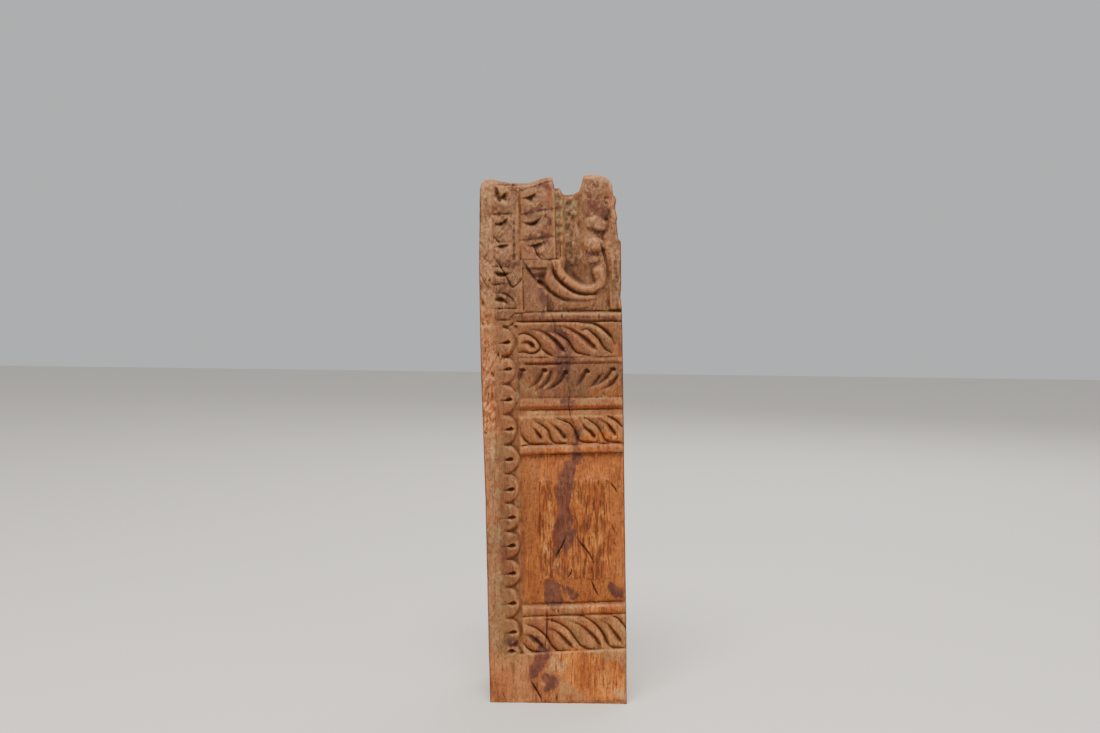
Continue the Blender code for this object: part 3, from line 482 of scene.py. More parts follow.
here = inside("volute") & (u >= STRIP_RIGHT)
corner = np.hypot(u - 50.2, w - 365.6)
ground = 2.0 + 0.035 * (u - STRIP_RIGHT) + 5.2 * np.exp(-corner / 9.0) + 0.05 * np.clip(u - 58.0, 0.0, 30.0)
ground = np.where(u > 55.0, np.maximum(ground, 5.6), ground)
cavity = groove(u) + 2.6 * np.exp(-np.hypot((u - 91.0) / 9.0, (w - 370.0) / 9.0) ** 2)
over_roll = smooth(np.hypot(u - 93.5, w - 392.8), 37.5, 34.5) + (w > 378.0) * (u > 66.0)
base = ground + (cavity - ground) * np.clip(over_roll, 0.0, 1.0)
depth[here] = base[here]
carve((
    (((35, 381.6), (40, 374.7), (45.4, 366.4), (51.5, 359.7)), (1.2, 1.8, 1.4, 0.8),
        (1.2, 2, 1.6, 0.6), -0.3),
    (((34.8, 374), (34.4, 364), (34.8, 341.6)), (1, 1.8, 2.2), (0.8, 1.6, 2.4), 0.3),
    (((38.5, 376.9), (44, 377), (54, 376.6)), (1.4, 2.2, 1.4), (0.5, 0.9, 0.5), -0.3),
    (((46, 371), (50, 370.4), (54.6, 371.2)), (5, 6.6, 5), (1.6, 2.2, 1.6), 0, 0.8),
    (((49.2, 366), (55.4, 359.9), (60.8, 355.8), (66.2, 352), (71.5, 349.4), (77, 348.2)),
        (4.8, 4.4, 4.2, 3.4, 2.2, 1), (4.6, 3.4, 3, 2.4, 1.6, 0.6), -0.25, 0.9),
    (((87, 342.6), (90.8, 344), (95.4, 346)), (1.4, 2, 1.4), (1, 1.8, 1)),
    (((79.4, 341), (79.8, 344.6)), (1.4, 0.8), (2, 0.8))))
ledge = inside("volute") & (w > 377.6) & (u > STRIP_RIGHT) & (u < 57.5)
depth[ledge] = 1.2
depth[here] += front["strokes"][here]
front.rib("depth", ((68, 346.4), (76, 345.4), (86, 345.8), (95, 347.4)), (5.6, 7.6, 7.6, 5.4),
    (4.7, 4.2, 4, 4.6), 5.8)
front.rib("depth", ((58.8, 382.6), (57.6, 374), (58.6, 367.2), (63.2, 361.4), (69, 357), (75, 353.6),
    (81.5, 351.7), (88.5, 351), (95.5, 351.8)), (5, 7.4, 10.4, 11.2, 10.4, 8.8, 7.4, 6.4, 5),
    (2, 1.7, 1.5, 1.5, 1.7, 2, 2.3, 2.7, 3.4), 6.4)
front.rib("depth", ((63.6, 382.5), (65.7, 375.2), (68.8, 369.8), (73.4, 365.6), (78.2, 362.2), (83, 359.6),
    (88.5, 358.5), (94.5, 358.7), (99.2, 360.6), (101.8, 365.4), (101.4, 370.6), (99, 373.6)),
    (10, 9.6, 9.2, 8.8, 8.8, 9, 9, 9.4, 10, 11, 12, 11),
    (1.4, 0.8, 0.6, 0.7, 0.8, 0.9, 1.1, 1.4, 1.5, 1.3, 1, 1.6), 9.5)
scroll = 1.0 - ((u - 100.8) / 6.2) ** 2 - ((w - 371.0) / 9.2) ** 2
depth[scroll > 0.0] = np.minimum(depth, 9.5 - 8.4 * np.sqrt(np.clip(scroll, 0.0, 1.0)))[scroll > 0.0]
carve((
    (((59.4, 378), (61.6, 372.2), (64.2, 367.4), (68.8, 363), (73.4, 359.4), (78, 356.6), (83, 354.8),
        (90, 354.1), (96.6, 354.9)), (1.2, 2.6, 2.8, 2.6, 2.6, 2.4, 2, 1.6),
        (0.8, 2.4, 2.8, 2.6, 2.4, 2, 1.6, 1), -0.2),
    (((66.8, 365.4), (69.6, 367.4), (73, 370)), (2, 2.2, 1.6), (2.4, 2.6, 1.4)),
    (((96, 354.6), (98.6, 357.6), (103.6, 359.2)), (2, 2.2, 1.6), (1.8, 2.2, 1.2)),
    (((98.6, 365.4), (99.6, 369), (98.2, 372.4)), (1.6, 2, 1.2), (1, 1.5, 0.8))))
depth += front["strokes"] * inside("volute")
print("deepest carving:", round(float(depth[here].max()), 1), "mm")

# %% [markdown]
# ## The crown's blocks
# Two columns of blocks lie under the broken top. In each, one slanting stroke lifts a lip: the
# wall right under the lip is steep and dark, with painted shadow laid in it, and the long slope
# below it catches the light. The blocks' own edges are narrow steps between the rows.

# %% Notched blocks
BLOCKS = ((10.6, 28.6), (33, 62.4))
ROW_LINES = (
    ((9.6, 400.4), (27.4, 400.4), (1.1, 1)), ((10.4, 424), (28, 424.2), (2, 1.8)),
    ((14, 448.9), (30.6, 448.2), (1.8, 1.8)), ((33.6, 401.4), (62, 404.4), (1.3, 1.2)),
    ((36, 423.4), (61, 428), (1.4, 1.2)), ((33.4, 443.2), (60, 451), (1.6, 1.8)),
    ((35, 384.6), (62, 384.8), (2, 1.8)))
LIPS = (
    ((16.2, 436.2), (18.2, 438), (20.2, 440.2), (22.6, 442.6)),
    ((12.4, 415.6), (15.8, 415.8), (19, 417.2), (23.6, 421)),
    ((12.6, 396.2), (16.2, 396.8), (20.2, 397.2), (24, 397.8)),
    ((37.4, 437.2), (41, 437.8), (44.6, 439.4), (49, 442.2)),
    ((38, 416.2), (42, 415.7), (47, 417), (52, 421.8)),
    ((40.4, 396.6), (44.4, 396.8), (48.4, 397.9), (54.6, 400.2)))
here = inside("crown") | (w >= TOP)
depth[here] = np.where(u < 62.4, 0.9, groove(u))[here]
for left, right in BLOCKS:
    crossing = np.clip((2.0 * u - left - right) / (right - left), -1.0, 1.0)
    swelling = 1.0 * crossing ** 4
    depth += np.where(here & (u > left) & (u < right), swelling, 0.0)
front["strokes"] = np.zeros(u.shape)
for start, end, depths in ROW_LINES:
    front.cut("strokes", (start, end), (7.0, 7.0), depths, lean=-0.86, shape=1.8)
front["lips"] = np.zeros(u.shape)
# Painted shadow: under each lip the layer for cracks lays a dark band where the lip's shade falls.
for points in LIPS:
    front.cut("lips", points, (3.0, 9.0, 8.0, 2.4), (2.6, 5.0, 3.4, 0.5), lean=-0.86, shape=1.5)
    front.cut("crack_and_painted_shade", points, (2.0, 8.6, 7.0, 1.6), (0.3, 0.7, 0.6, 0.2), lean=-0.86, shape=0.8)
leg = ((12.8, 448.4), (13.4, 443.6), (15, 438.6), (16.4, 435.2))
front.cut("lips", leg, (3.2, 5.6, 6.2, 4.6), (1.6, 3.4, 4.4, 4.6))
# Painted shadow along the top lip's leg as well.
front.cut("crack_and_painted_shade", leg, (2.6, 5.6, 6.2, 4.8), (0.3, 0.45, 0.5, 0.8), shape=0.7)
for line in (
    ((31.2, 447), (31.4, 437), (30.4, 428)), ((34, 442.4), (33, 435), (33.4, 428)),
    ((33.4, 415), (32.8, 400), (33.6, 386)), ((28.6, 421), (28, 404)), ((28, 398), (27.4, 386))):
    front.cut("crack_and_painted_shade", line, (2.0, 3.2, 2.0), (0.3, 0.55, 0.3), shape=0.8)
for line, widths, depths in (
    (((10.4, 444), (10.2, 424), (10.6, 402), (10.8, 386)), (2, 2.4, 1.6), (1.4, 2, 1.2)),
    (((30.9, 447), (29.4, 425), (28, 405), (27.6, 385)), (1.8, 1.8, 2.2), (1.6, 1.6, 2.2)),
    (((34, 442.2), (32.9, 434), (33.4, 426), (33, 412), (32.6, 398), (33.4, 385)),
        (2.2, 2.8, 1.8, 1.8, 2.4), (1.6, 3, 1.6, 1.8, 2.2)),
    (((10.8, 405.2), (14.4, 400.8), (17.8, 398.6), (19.4, 396.6)), (1.6, 1.8, 1.2), (1.2, 1.8, 1)),
    (((42.6, 398.8), (45.4, 395), (47.2, 389.4), (50.2, 385.4)), (1.6, 2.4, 2), (1.6, 2.6, 2)),
    (((34.8, 396.4), (37.6, 391.8), (39.8, 389.2)), (1, 1.4, 1), (0.8, 1.2, 0.8))):
    front.cut("strokes", line, widths, depths)
depth[here] += np.maximum(front["strokes"], front["lips"])[here]
bevel = np.clip(1.0 - (crown_top(u) - w) / 6.0, 0.0, 1.4)
depth += np.where(here & (u < 62.6), 4.4 * bevel ** 1.3, 0.0)
print("lips:", len(LIPS), "row lines:", len(ROW_LINES))

# %% [markdown]
# ## Groove, knobs and ridge
# A tall groove with a row of small worn steps parts the blocks from a column of knobs. Weather
# has turned the knobs and the ridge on their right into lumps, so each is a dome, broken up by
# noise. A row gives a dome's place, its half width, its reach above and below, the depth of its
# crest and how fast it falls away.

# %% Groove and knobs
KNOBS = (
    (98.5, 446, 15, 14, 10.5, 0.4, 3.4), (98, 429, 14, 9, 11, 1.7, 2),
    (98.5, 412.6, 13, 9.5, 4.2, 0.2, 4.6), (94.5, 393.6, 13, 9.5, 5, 0.6, 4.4),
    (96, 383.6, 11, 5, 5, 3.2, 3.2), (112.5, 433, 6, 7, 7, 1, 2.4), (113.5, 418.5, 5.5, 6, 6, 1.2, 2.4),
    (111, 396, 7, 16, 12, 1, 2.4))
shingles = np.full(u.shape, 7.5)
for across, up, half_width, above_it, below_it, crest, fall in KNOBS:
    bow = np.clip(u - 97.0, 0.0, None) ** 2 * (0.022 if up > 408.0 else -0.012)
    over_it = w - up + bow + 0.5 * front["ragged"]
    away = ((u - across) / half_width) ** 2 + (over_it / np.where(over_it > 0.0, above_it, below_it)) ** 2
    shingles = np.minimum(shingles, crest + fall * away ** 1.5)
narrow = 14.6 - 1.1 * (shingles - 1.0)
on_left_side = 5.6 * np.clip((99.0 - u) / narrow, 0.0, 1.4) ** 2.4
on_right_side = 2.6 * np.clip((u - 98.0) / (narrow - 1.5), 0.0, 1.3) ** 2.6
lumps = 0.5 * front.rough(17, 6.0, 6.0) + 0.15 * front.rough(18, 2.4, 2.8)
knob_depth = shingles + on_left_side + on_right_side + lumps * smooth(u, 84.0, 90.0)
knob_zone = smooth(u, 83.0, 87.0) * smooth(w, 377.5, 381.5)
depth = np.where(knob_zone > 0.0, np.minimum(depth, knob_depth + 9.0 * (1.0 - knob_zone)), depth)
front["depth"] = depth
carve((
    (((90, 436.6), (95, 436.2), (101, 434.6), (107.2, 432), (110.6, 427.6)), (1.6, 2.8, 3, 2.6, 1.4),
        (0.4, 0.9, 1, 0.9, 0.4), -0.4),
    (((100.6, 400.4), (102.8, 395), (105, 388), (106.8, 380), (107.8, 371), (108.2, 361)),
        (1.6, 2.8, 2.8, 2.2, 2.2, 1.2), (1.2, 2.8, 2.8, 2.2, 2.2, 0.8)),
    (((107.4, 417.6), (108.4, 414.4)), (3, 2), (1.8, 1)),
    (((85.6, 431), (86, 425), (86.8, 420)), (2, 4.4, 2.4), (0.8, 1.6, 0.6)),
    (((84.6, 391), (85.6, 385.4), (87.6, 381.6)), (2.6, 4.4, 3), (1, 2.2, 1.2)),
    (((91, 444.6), (92, 442.4)), (2.4, 2), (1, 0.8))))
outer = smooth(u, 107.0, 112.0) * (w > 341.0)
STEP_HEIGHT = 7.6
beat = w * 2.0 * math.pi / STEP_HEIGHT + 0.7 * front.rough(4, 30.0, 12.0)
steps = 0.8 * np.clip(np.sin(beat) + 0.3 * front.rough(19, 3.0, 3.0), -0.4, 1.0)
in_groove_strip = smooth(u, 63.6, 64.6) * smooth(u, 71.0, 69.2) * (w > 386.0)
cove = smooth(u, 69.0, 72.0) * smooth(u, 91.0, 85.0) * (w > 380.0)
stringy = front.rough(5, 1.5, 13.0)
depth = depth + front["strokes"] * (u > 86.0)
depth += (2.0 + 0.7 * stringy + 0.5 * front.rough(21, 4.0, 7.0) - depth) * outer * 0.85
depth += steps * in_groove_strip + cove * (0.5 * front.rough(6, 3.0, 5.0) + 0.2 * stringy)
depth += knob_zone * 0.15 * front.rough(7, 1.6, 2.4)
crest_fall = np.clip(1.0 - (crown_top(u) - w) / 3.4, 0.0, 1.3)
depth += np.where((w > 430.0) & (u >= 62.6), 2.6 * crest_fall ** 1.5, 0.0)
front["depth"] = depth
print("knobs and outer lumps:", len(KNOBS))

# %% [markdown]
# ## Cracks, torn fibres and wear
# Seasoning split the block along its grain from the volute down to the panel, where the crack
# forks. Cracks are narrow V cuts that follow the fibres. Wear works the other way: it takes off
# what stands proud. Comparing the depths with a blurred copy finds those edges and rounds them.

# %% Cracks
CRACKS = (
    (((54, 352), (56.9, 344.1), (60.1, 334.6), (61.7, 324.4), (62.3, 311.5), (65.6, 305.5),
        (70.6, 294.3)), 0.65),
    (((70.6, 294.3), (71.3, 285.7), (72.4, 276), (73.4, 271), (72.6, 260), (74.2, 248.7), (76.4, 243.3),
        (79, 233.1), (78.9, 221.1)), 0.8),
    (((78.4, 216), (74.5, 208), (72.2, 199), (70.2, 188), (70.6, 175), (70.6, 162), (74.6, 150.6)), 0.6),
    (((69.4, 150), (65.6, 140.6), (60, 129.4), (55.6, 123.4)), 1.4),
    (((74.8, 148.4), (81.3, 139.2), (88.4, 130.6), (91.3, 123.4), (92, 114.8)), 1.4),
    (((73.4, 119.2), (71.4, 113.4), (68.6, 109.8)), 1.3), (((88.4, 109.2), (92.6, 99.2), (97, 90.6)), 1.5),
    (((94.2, 189.2), (91.4, 169.2), (87.8, 150.6)), 0.7),
    (((106.2, 193.4), (110.6, 187), (114.2, 181.2)), 1.3), (((107, 156.4), (110, 151), (112, 146.6)), 1),
    (((108.4, 141), (112, 136.4)), 0.9),
    (((10, 388.2), (15, 380.4), (20.4, 371.6), (24.4, 363.6), (27.4, 359.4)), 1.3),
    (((35.1, 23), (37.6, 17.4), (41.4, 10), (44.4, 4.6), (45.2, -1)), 1.7),
    (((59, 9.6), (57.8, 4.6), (57.4, -1)), 1.2), (((10.4, 12.6), (12.4, 7), (14, 1)), 0.8),
    (((49.9, 84), (50.3, 75.6), (50.2, 60), (48.8, 51), (46.6, 45)), 1.3),
    (((60.5, 83.4), (60.6, 78.4)), 1.2), (((54.8, 76), (54.6, 70)), 0.8), (((51.8, 75), (51.6, 68)), 0.7),
    (((34.4, 384.6), (39.4, 377.2), (44.8, 369.6), (49.8, 364)), 1.5), (((33.2, 339.4), (33.8, 334)), 1),
    (((67.8, 338.8), (67.9, 332.6)), 1.1), (((99.4, 338.4), (99.6, 332.6)), 1),
    (((78.6, 331.4), (79, 326)), 0.9), (((46, 338.8), (46.4, 335)), 0.6), (((88, 44.6), (88.8, 39)), 0.8),
    (((42.8, 398.6), (45.6, 394.6), (47.4, 389.4), (50.2, 385.4)), 0.9),
    (((101, 400), (104, 389), (106.8, 377)), 0.9), (((9.8, 405.4), (14, 400.8), (19.4, 396.8)), 0.8),
    (((66.8, 398), (67.4, 390), (67, 383)), 0.8), (((0, 389), (4, 384.6), (8.4, 381)), 0.7),
    (((-1.6, 374), (2.6, 366), (7, 358.6)), 0.9))
for points, width in CRACKS:
    wander = 0.35 * np.sin(np.arange(len(points)) * 2.3 + width * 9.0)
    points = [(a + shift, b) for (a, b), shift in zip(points, wander)]
    front.cut("cracks", points, (0.7, 1.1 * width, width, 0.7), (0.6, 1.8 * width, 1.6 * width, 0.5))
    front.cut("crack_and_painted_shade", points, (1.1 * width, 1.8 * width, 1.7 * width, width),
              (0.5, 0.9, 0.9, 0.4), shape=0.8)
depth += front["cracks"] + front["seams"] * (u > 21.0) * (u < 118.0)
print("cracks:", len(CRACKS))

# %% Weathered areas, as strokes of a wide brush
AREAS = {
    "torn": (
        (((3.4, 318), (4, 300), (3, 276), (4.4, 252), (2.6, 240)), (7, 11, 9, 10, 5)),
        (((14, 300), (17, 298), (20, 301)), (7, 8, 5)), (((1, 348), (2, 334), (3, 322)), (3, 5, 7))),
    "grey": (
        (((20, 448), (20, 420), (18, 390), (20, 352)), (20, 24, 26, 20)),
        (((48, 446), (50, 420), (48, 392)), (16, 22, 18)),
        (((98, 450), (98, 420), (98, 390)), (18, 22, 18)),
        (((78, 436), (77, 410), (78, 384)), (12, 14, 12)),
        (((4, 450), (2, 420), (5, 390), (4, 360), (7, 344)), (18, 16, 20, 14, 6)),
        (((14, 386), (18, 366), (16, 345)), (12, 18, 16)), (((0, 452), (30, 452), (60, 456)), (10, 9, 8)),
        (((6, 232), (5, 200), (5, 150), (4, 100), (6, 50)), (9, 8, 8, 9, 8)),
        (((114, 420), (114, 390), (115, 360), (117, 330)), (8, 9, 9, 6))),
    "stain": (
        (((79, 228), (78, 214), (74, 206), (70.6, 198), (67, 188), (66.4, 176), (66.6, 160), (66, 150)),
            (5, 7, 11, 13, 15, 12, 14, 15)), (((66, 152), (62.5, 141), (60, 130)), (14, 9, 5)),
        (((72.8, 150), (70, 140), (67, 131)), (7, 7, 4)), (((53, 106), (57, 99), (57, 90)), (9, 15, 15)),
        (((66, 100), (74, 95)), (8, 8)), (((107, 102), (113, 96)), (6, 9)),
        (((48, 48), (46, 42), (43, 35), (39, 29), (36, 24)), (11, 14, 12, 9, 5)),
        (((48, 23), (55, 19), (48, 12)), (7, 9, 5)), (((34, 60), (44, 56), (49, 51)), (3, 5, 4)),
        (((18, 56), (20, 52)), (7, 7)), (((52, 65), (56, 64)), (4, 3)),
        (((70, 296), (69.6, 288), (72, 281)), (9, 9, 5)),
        (((61, 332), (62, 320), (66, 306), (68, 297)), (6, 5, 7, 9)), (((79, 240), (79, 226)), (5, 7)),
        (((50, 359), (54, 351), (57, 344)), (6, 9, 6)),
        (((34, 446), (42, 444.6), (52, 448.6), (59, 446)), (3, 4, 6, 5)),
        (((40, 424.8), (48, 426), (60, 428.2)), (4.2, 4.4, 4.6)), (((57, 420), (60, 412)), (6, 5)),
        (((56, 400), (60, 392)), (6, 5)), (((94, 431), (100, 424), (105, 419)), (10, 11, 6)),
        (((98, 448), (106, 446)), (5, 6)), (((90, 406), (96, 408.4), (104, 407)), (4, 5, 4)),
        (((38, 402.8), (48, 403.8), (60, 404.6)), (4, 4.6, 5)), (((20, 446.4), (30.4, 444.6)), (2.4, 3.4)),
        (((92, 433.6), (99, 433), (106, 428), (108, 420)), (5, 6, 9, 7)),
        (((92, 410), (97, 409.6)), (4.4, 4)), (((104, 412), (108, 409.4)), (5, 4)),
        (((89, 388.6), (94, 388.4), (99.6, 387.4)), (4, 5.6, 5)), (((101, 448), (104, 441)), (6, 5)),
        (((113, 396), (116, 380), (116, 366)), (3, 5, 4)), (((17, 381), (24, 379), (33, 384)), (4, 5, 3)),
        (((46, 369), (54, 371)), (7, 5)), (((58, 326), (66, 318), (72, 308)), (10, 12, 8)),
        (((68, 262), (75, 261)), (7, 7)), (((60, 297.4), (72, 299.4), (84, 298.6)), (4, 5, 2)),
        (((64, 288), (66, 280), (61, 276)), (3, 3, 2)), (((28, 336), (60, 336), (112, 335)), (2, 3, 3))),
    "pale": (
        (((6, 236), (5.6, 226), (5.4, 216)), (6, 8, 5)), (((56, 38), (62, 34), (64, 27)), (9, 12, 7)),
        (((50, 30), (57, 34)), (4, 8)), (((42, 18), (46, 17)), (4, 5)),
        (((52, 136), (60, 121), (67, 112)), (6, 9, 6)), (((34, 277), (44, 268.5)), (9, 6)),
        (((110, 10), (117, 5)), (8, 9)), (((13, 421.6), (24, 421.6)), (2.6, 2.6)),
        (((11, 424), (8, 414), (4, 404)), (4, 5, 3)), (((2, 440), (9, 446)), (4, 4)),
        (((39, 254), (60, 253)), (4, 3)), (((5, 366), (6, 372), (4, 384)), (4, 5, 3))),
    "clean": (
        (((100, 212), (98, 180), (96, 140), (100, 104)), (50, 54, 50, 56)),
        (((60, 214), (56, 150), (54, 110)), (24, 30, 40)), (((75, 32), (100, 20)), (34, 38)),
        (((36, 100), (60, 90)), (14, 16)), (((4, 180), (5, 160)), (6, 6)),
        (((96, 274), (112, 272)), (14, 16)), (((40, 280), (48, 274)), (8, 6)),
        (((114, 312), (115, 300)), (6, 8)), (((98, 357), (103, 358)), (5, 6)),
        (((104, 404), (107, 399)), (6, 6)), (((108, 419), (109, 414)), (4, 4)),
        (((90, 424), (96, 421)), (6, 6)), (((111, 345), (116, 348)), (8, 6)),
        (((22, 388), (26, 392)), (5, 6)), (((44, 408), (54, 409)), (5, 6)),
        (((17, 405), (23, 407)), (4, 4)), (((94, 402), (100, 404)), (8, 6)),
        (((88, 396), (98, 397)), (5, 5)), (((38, 436), (46, 441)), (4, 3)),
        (((15, 440), (17, 435)), (4, 3))),
    "blush": (
        (((56, 440), (58, 430)), (9, 9)), (((55, 420), (58, 408)), (8, 9)),
        (((36, 394), (46, 390), (58, 392)), (8, 12, 9)), (((13, 425.2), (16, 425)), (2.6, 2.2)),
        (((13.4, 446), (15.6, 438)), (3.4, 3.6)), (((96, 432), (98, 426)), (12, 10)),
        (((64, 381), (66, 375), (72, 367), (84, 360)), (8, 7, 7, 6)),
        (((36, 336), (60, 336), (80, 336)), (6, 6, 4)), (((60, 312), (80, 316), (100, 308)), (14, 16, 14)),
        (((30, 262), (66, 262)), (4, 4)), (((24.8, 196), (25.4, 188), (24.4, 181)), (2.4, 3.4, 2.4)),
        (((24.6, 171), (26, 163), (24.6, 156)), (3.4, 4.4, 3.4)),
        (((24.8, 147), (25.6, 139), (24.4, 132)), (2.4, 3.4, 2.4)),
        (((25, 248), (26.4, 240), (25.6, 232)), (2.4, 3.6, 2.6)),
        (((24.4, 222), (25.4, 214), (24.2, 207)), (2, 3, 2)), (((40, 70), (48, 64)), (8, 8))),
    "green": (
        (((71, 436), (73, 420), (72, 400), (73.5, 384)), (5, 7, 4, 3)),
        (((64.2, 440), (64.6, 420), (64.4, 400)), (3, 4, 2.5)), (((78, 434), (80, 424)), (5, 6)),
        (((96, 266.4), (103, 266.6), (110, 266)), (1.6, 2, 1.6)), (((54, 252), (58, 252.4)), (2.4, 2.6)),
        (((66, 236.4), (67.6, 233.4)), (3, 3.6)), (((60, 338), (90, 340.6), (112, 340.4)), (1.4, 1.8, 1.4)),
        (((9.6, 230), (9.8, 150), (9.8, 44)), (2.2, 2.4, 2.2)),
        (((30, 240), (33, 230), (40, 226)), (1.2, 1.6, 1.2)), (((11, 82), (10.6, 74)), (3, 2)),
        (((30, 50), (34, 45.6)), (2, 2)), (((28.4, 270), (28.8, 258)), (1.8, 1.8)),
        (((112, 219), (114, 218)), (2, 2)), (((100, 216), (101, 214)), (2.2, 1.6))),
}
# Painted shade: thin dark lines along the step round the panel's raised field and along its hip.
for line in (
    ((46, 194.8), (80, 195.2), (118, 195.6)), ((46, 112), (45.8, 150), (46, 194.8)),
    ((31, 215.6), (38, 205.6), (46, 194.8))):
    front.paint("crack_and_painted_shade", line, (0.6, 0.8, 0.6), 1.6, 0.42)
for name, strokes in AREAS.items():
    for points, widths in strokes:
        if name == "stain":
            edge, amount = (4.0, 1.0) if points[0][1] < 300.0 else (6.0, 0.78)
            front.paint(name, points, [wide + 0.5 for wide in widths], edge, amount)
        else:
            front.paint(name, points, widths, 5.0 if name == "green" else 9.0)
# Each course gets its own darker tone.
DULLNESS = {"plinth": 0.0, "low leaves": 0.32, "low bead": 0.34, "panel": 0.36, "panel bead": 0.36,
            "middle leaves": 0.52, "plain strip": 0.3, "wedge": 0.46, "drooping leaves": 1.0, "rib": 0.7,
            "upper leaves": 0.68, "upper bead": 1.0, "volute": 0.66, "crown": 0.46}
dull_tone_and_shade = np.zeros(u.shape)
for name, amount in DULLNESS.items():
    dull_tone_and_shade[inside(name)] = amount
in_scallop_strip = (u < 29.5) * (w > 43.0) * (w < 330.0)
dull_tone_and_shade = np.where(in_scallop_strip, 0.66, dull_tone_and_shade)
dull_tone_and_shade += 0.14 * inside("panel") * (u < 47.0)
dull_tone_and_shade *= smooth(u + front["ragged"], 8.0, 11.0)
dull_tone_and_shade += 0.25 * (u > 86.0) * (w < 104.0) * (w > 86.0) - 0.3 * (u > 62.6) * (w > 384.0)
# Painted shade down the knobs' left side, in the volute's hollow and in the groove's sunk strip.
dull_tone_and_shade += (0.30 * smooth(u, 80.0, 84.0) * smooth(u, 91.0, 87.0)
         * smooth(w, 378.0, 386.0) * smooth(w, 438.0, 430.0))
dull_tone_and_shade += 0.9 * np.exp(-np.hypot((u - 84.0) / 12.0, (w - 373.0) / 10.0) ** 4) + 1.1 * in_groove_strip
front["dull_tone_and_shade"] = front.blurred(np.clip(dull_tone_and_shade, 0.0, 1.0), 1.4)
print("areas:", {name: len(strokes) for name, strokes in AREAS.items()})

# %% Wear, grain and tool marks
front["worn"] = np.clip(front["grey"] + front["torn"], 0.0, 1.0) * (1.0 - 0.9 * knob_zone) + 0.3 * outer
upright = 1.0 - 0.85 * smooth(w, 374.0, 386.0) * smooth(u, 112.0, 108.0)
fine = front.rough(8, 1.5, 11.0) * upright + 0.7 * front.rough(24, 2.4, 3.6) * (1.0 - upright)
depth += (0.14 + 0.36 * front["worn"]) * fine + 0.16 * front.rough(9, 7.0, 16.0)
depth += (0.12 + 0.22 * front["worn"]) * front.rough(22, 2.4, 3.2)
depth += front["torn"] * (0.9 + 1.0 * np.abs(front.rough(10, 2.0, 11.0)) + 0.35 * front.rough(11, 1.0, 5.0))
diagonal = np.sin((u * 1.15 + w * 0.62 + 2.0 * front.rough(12, 14.0, 18.0)) * 1.1)
depth += 0.55 * smooth(u, 12.0, 6.0) * smooth(w, 338.0, 352.0) * np.clip(diagonal, -0.2, 1.0)
panel_face = field_edge * inside("panel")
dashes = np.clip(front.rough(13, 1.1, 9.0) - 0.1, 0.0, 2.0)
dashes = dashes + 0.2 * np.clip(front.rough(23, 2.6, 20.0), 0.0, 2.0)
depth += panel_face * 0.4 * dashes
front["dashes"] = panel_face * dashes
front["field"] = front.blurred(panel_face, 0.5)
front["bevel"] = front.blurred(inside("panel") * (1.0 - field_edge) * (u > 30.0), 0.5)
depth += 0.5 * smooth(np.abs(u - 13.5), 2.0, 0.0) * (w < 41.0) * (w > 39.5)
arris = 1.5 + 0.9 * front.rough(14, 40.0, 9.0).clip(-1.0, 2.0)
inset = np.minimum(u - left_side(w), right_side(w) - u)
depth += np.clip(arris - inset, 0.0, 4.0)
depth += 1.2 * np.clip(1.0 - (w - 0.6) / 1.6, 0.0, 1.0)
soft = front.blurred(depth, 1.0)
depth += np.clip(soft - depth, 0.0, 3.0) * (0.55 + 0.25 * np.clip(front["worn"], 0.0, 1.0))
depth = np.maximum(depth, 0.0)
front["depth"] = depth
sunk = (depth - front.blurred(depth, 3.2)) / 1.6 + 0.5 * front.blurred(front["veins"], 0.6)
front["hollow"] = np.clip(sunk, 0.0, 1.0)
front["crest"] = np.clip((front.blurred(depth, 1.6) - depth) / 0.7, 0.0, 1.0)
front["arris"] = smooth(inset, 2.6, 0.4)
climb = np.gradient(front.blurred(depth, 0.8), PIXEL, axis=0)
# Painted shade: the layer called under marks faces that tilt down, which the material paints darker.
front["under"] = smooth(-climb, 0.18, 0.9)
# Painted light: the layer called over marks faces that tilt up, which the material paints lighter.
front["over"] = smooth(climb, 0.15, 0.8)
eaten_here = np.clip(1.0 * (w > 341.0) + 0.25 * in_scallop_strip + 0.5 * (w > 266.0), 0.0, 1.0)
front["eaten"] = front.blurred(eaten_here, 3.0)
print("mean depth:", round(float(depth.mean()), 2), "mm")

# %% [markdown]
# ## Sides, back and top
# Nobody sees these in the photograph, so they are finished plainly and in keeping: a sawn and
# weathered back, sides with long seasoning checks and a few gouge marks, and end grain on top
# with splits that run out from the heart. They are boards too, and share the front's tools.

# %% Plain boards
left_board = Board((-2.0, 94.0), (-4.0, 460.0))
right_board = Board((-2.0, 94.0), (-4.0, 460.0))
back_board = Board((-4.0, 124.0), (-4.0, 460.0))
top_board = Board((-4.0, 124.0), (-2.0, 94.0))
CHECKS = {
    "left": (left_board, (
        ((30, 452), (31, 400), (29, 330), (33, 262)), ((58, 300), (60, 220), (57, 130)),
        ((20, 96), (21, 50), (24, 6)), ((74, 180), (75, 120), (72, 60)), ((44, 120), (46, 70)),
        ((12, 380), (14, 330), (12, 300)))),
    "right": (right_board, (
        ((24, 396), (26, 330), (23, 270), (25, 214)), ((52, 450), (55, 380), (53, 310)),
        ((40, 170), (42, 110), (38, 40)), ((70, 290), (68, 200), (71, 150)), ((16, 120), (17, 70)))),
    "back": (back_board, (
        ((40, 450), (42, 370), (38, 290), (41, 200), (44, 120)), ((78, 220), (80, 120), (76, 10)),
        ((92, 440), (90, 380), (93, 330)), ((22, 130), (24, 60), (21, 8)), ((60, 330), (61, 270)))),
    "top": (top_board, (
        ((20, 40), (38, 44), (58, 41)), ((44, 10), (46, 30), (42, 56)), ((28, 60), (44, 66)),
        ((98, 20), (100, 46), (96, 70)), ((8, 16), (20, 22)))),
}
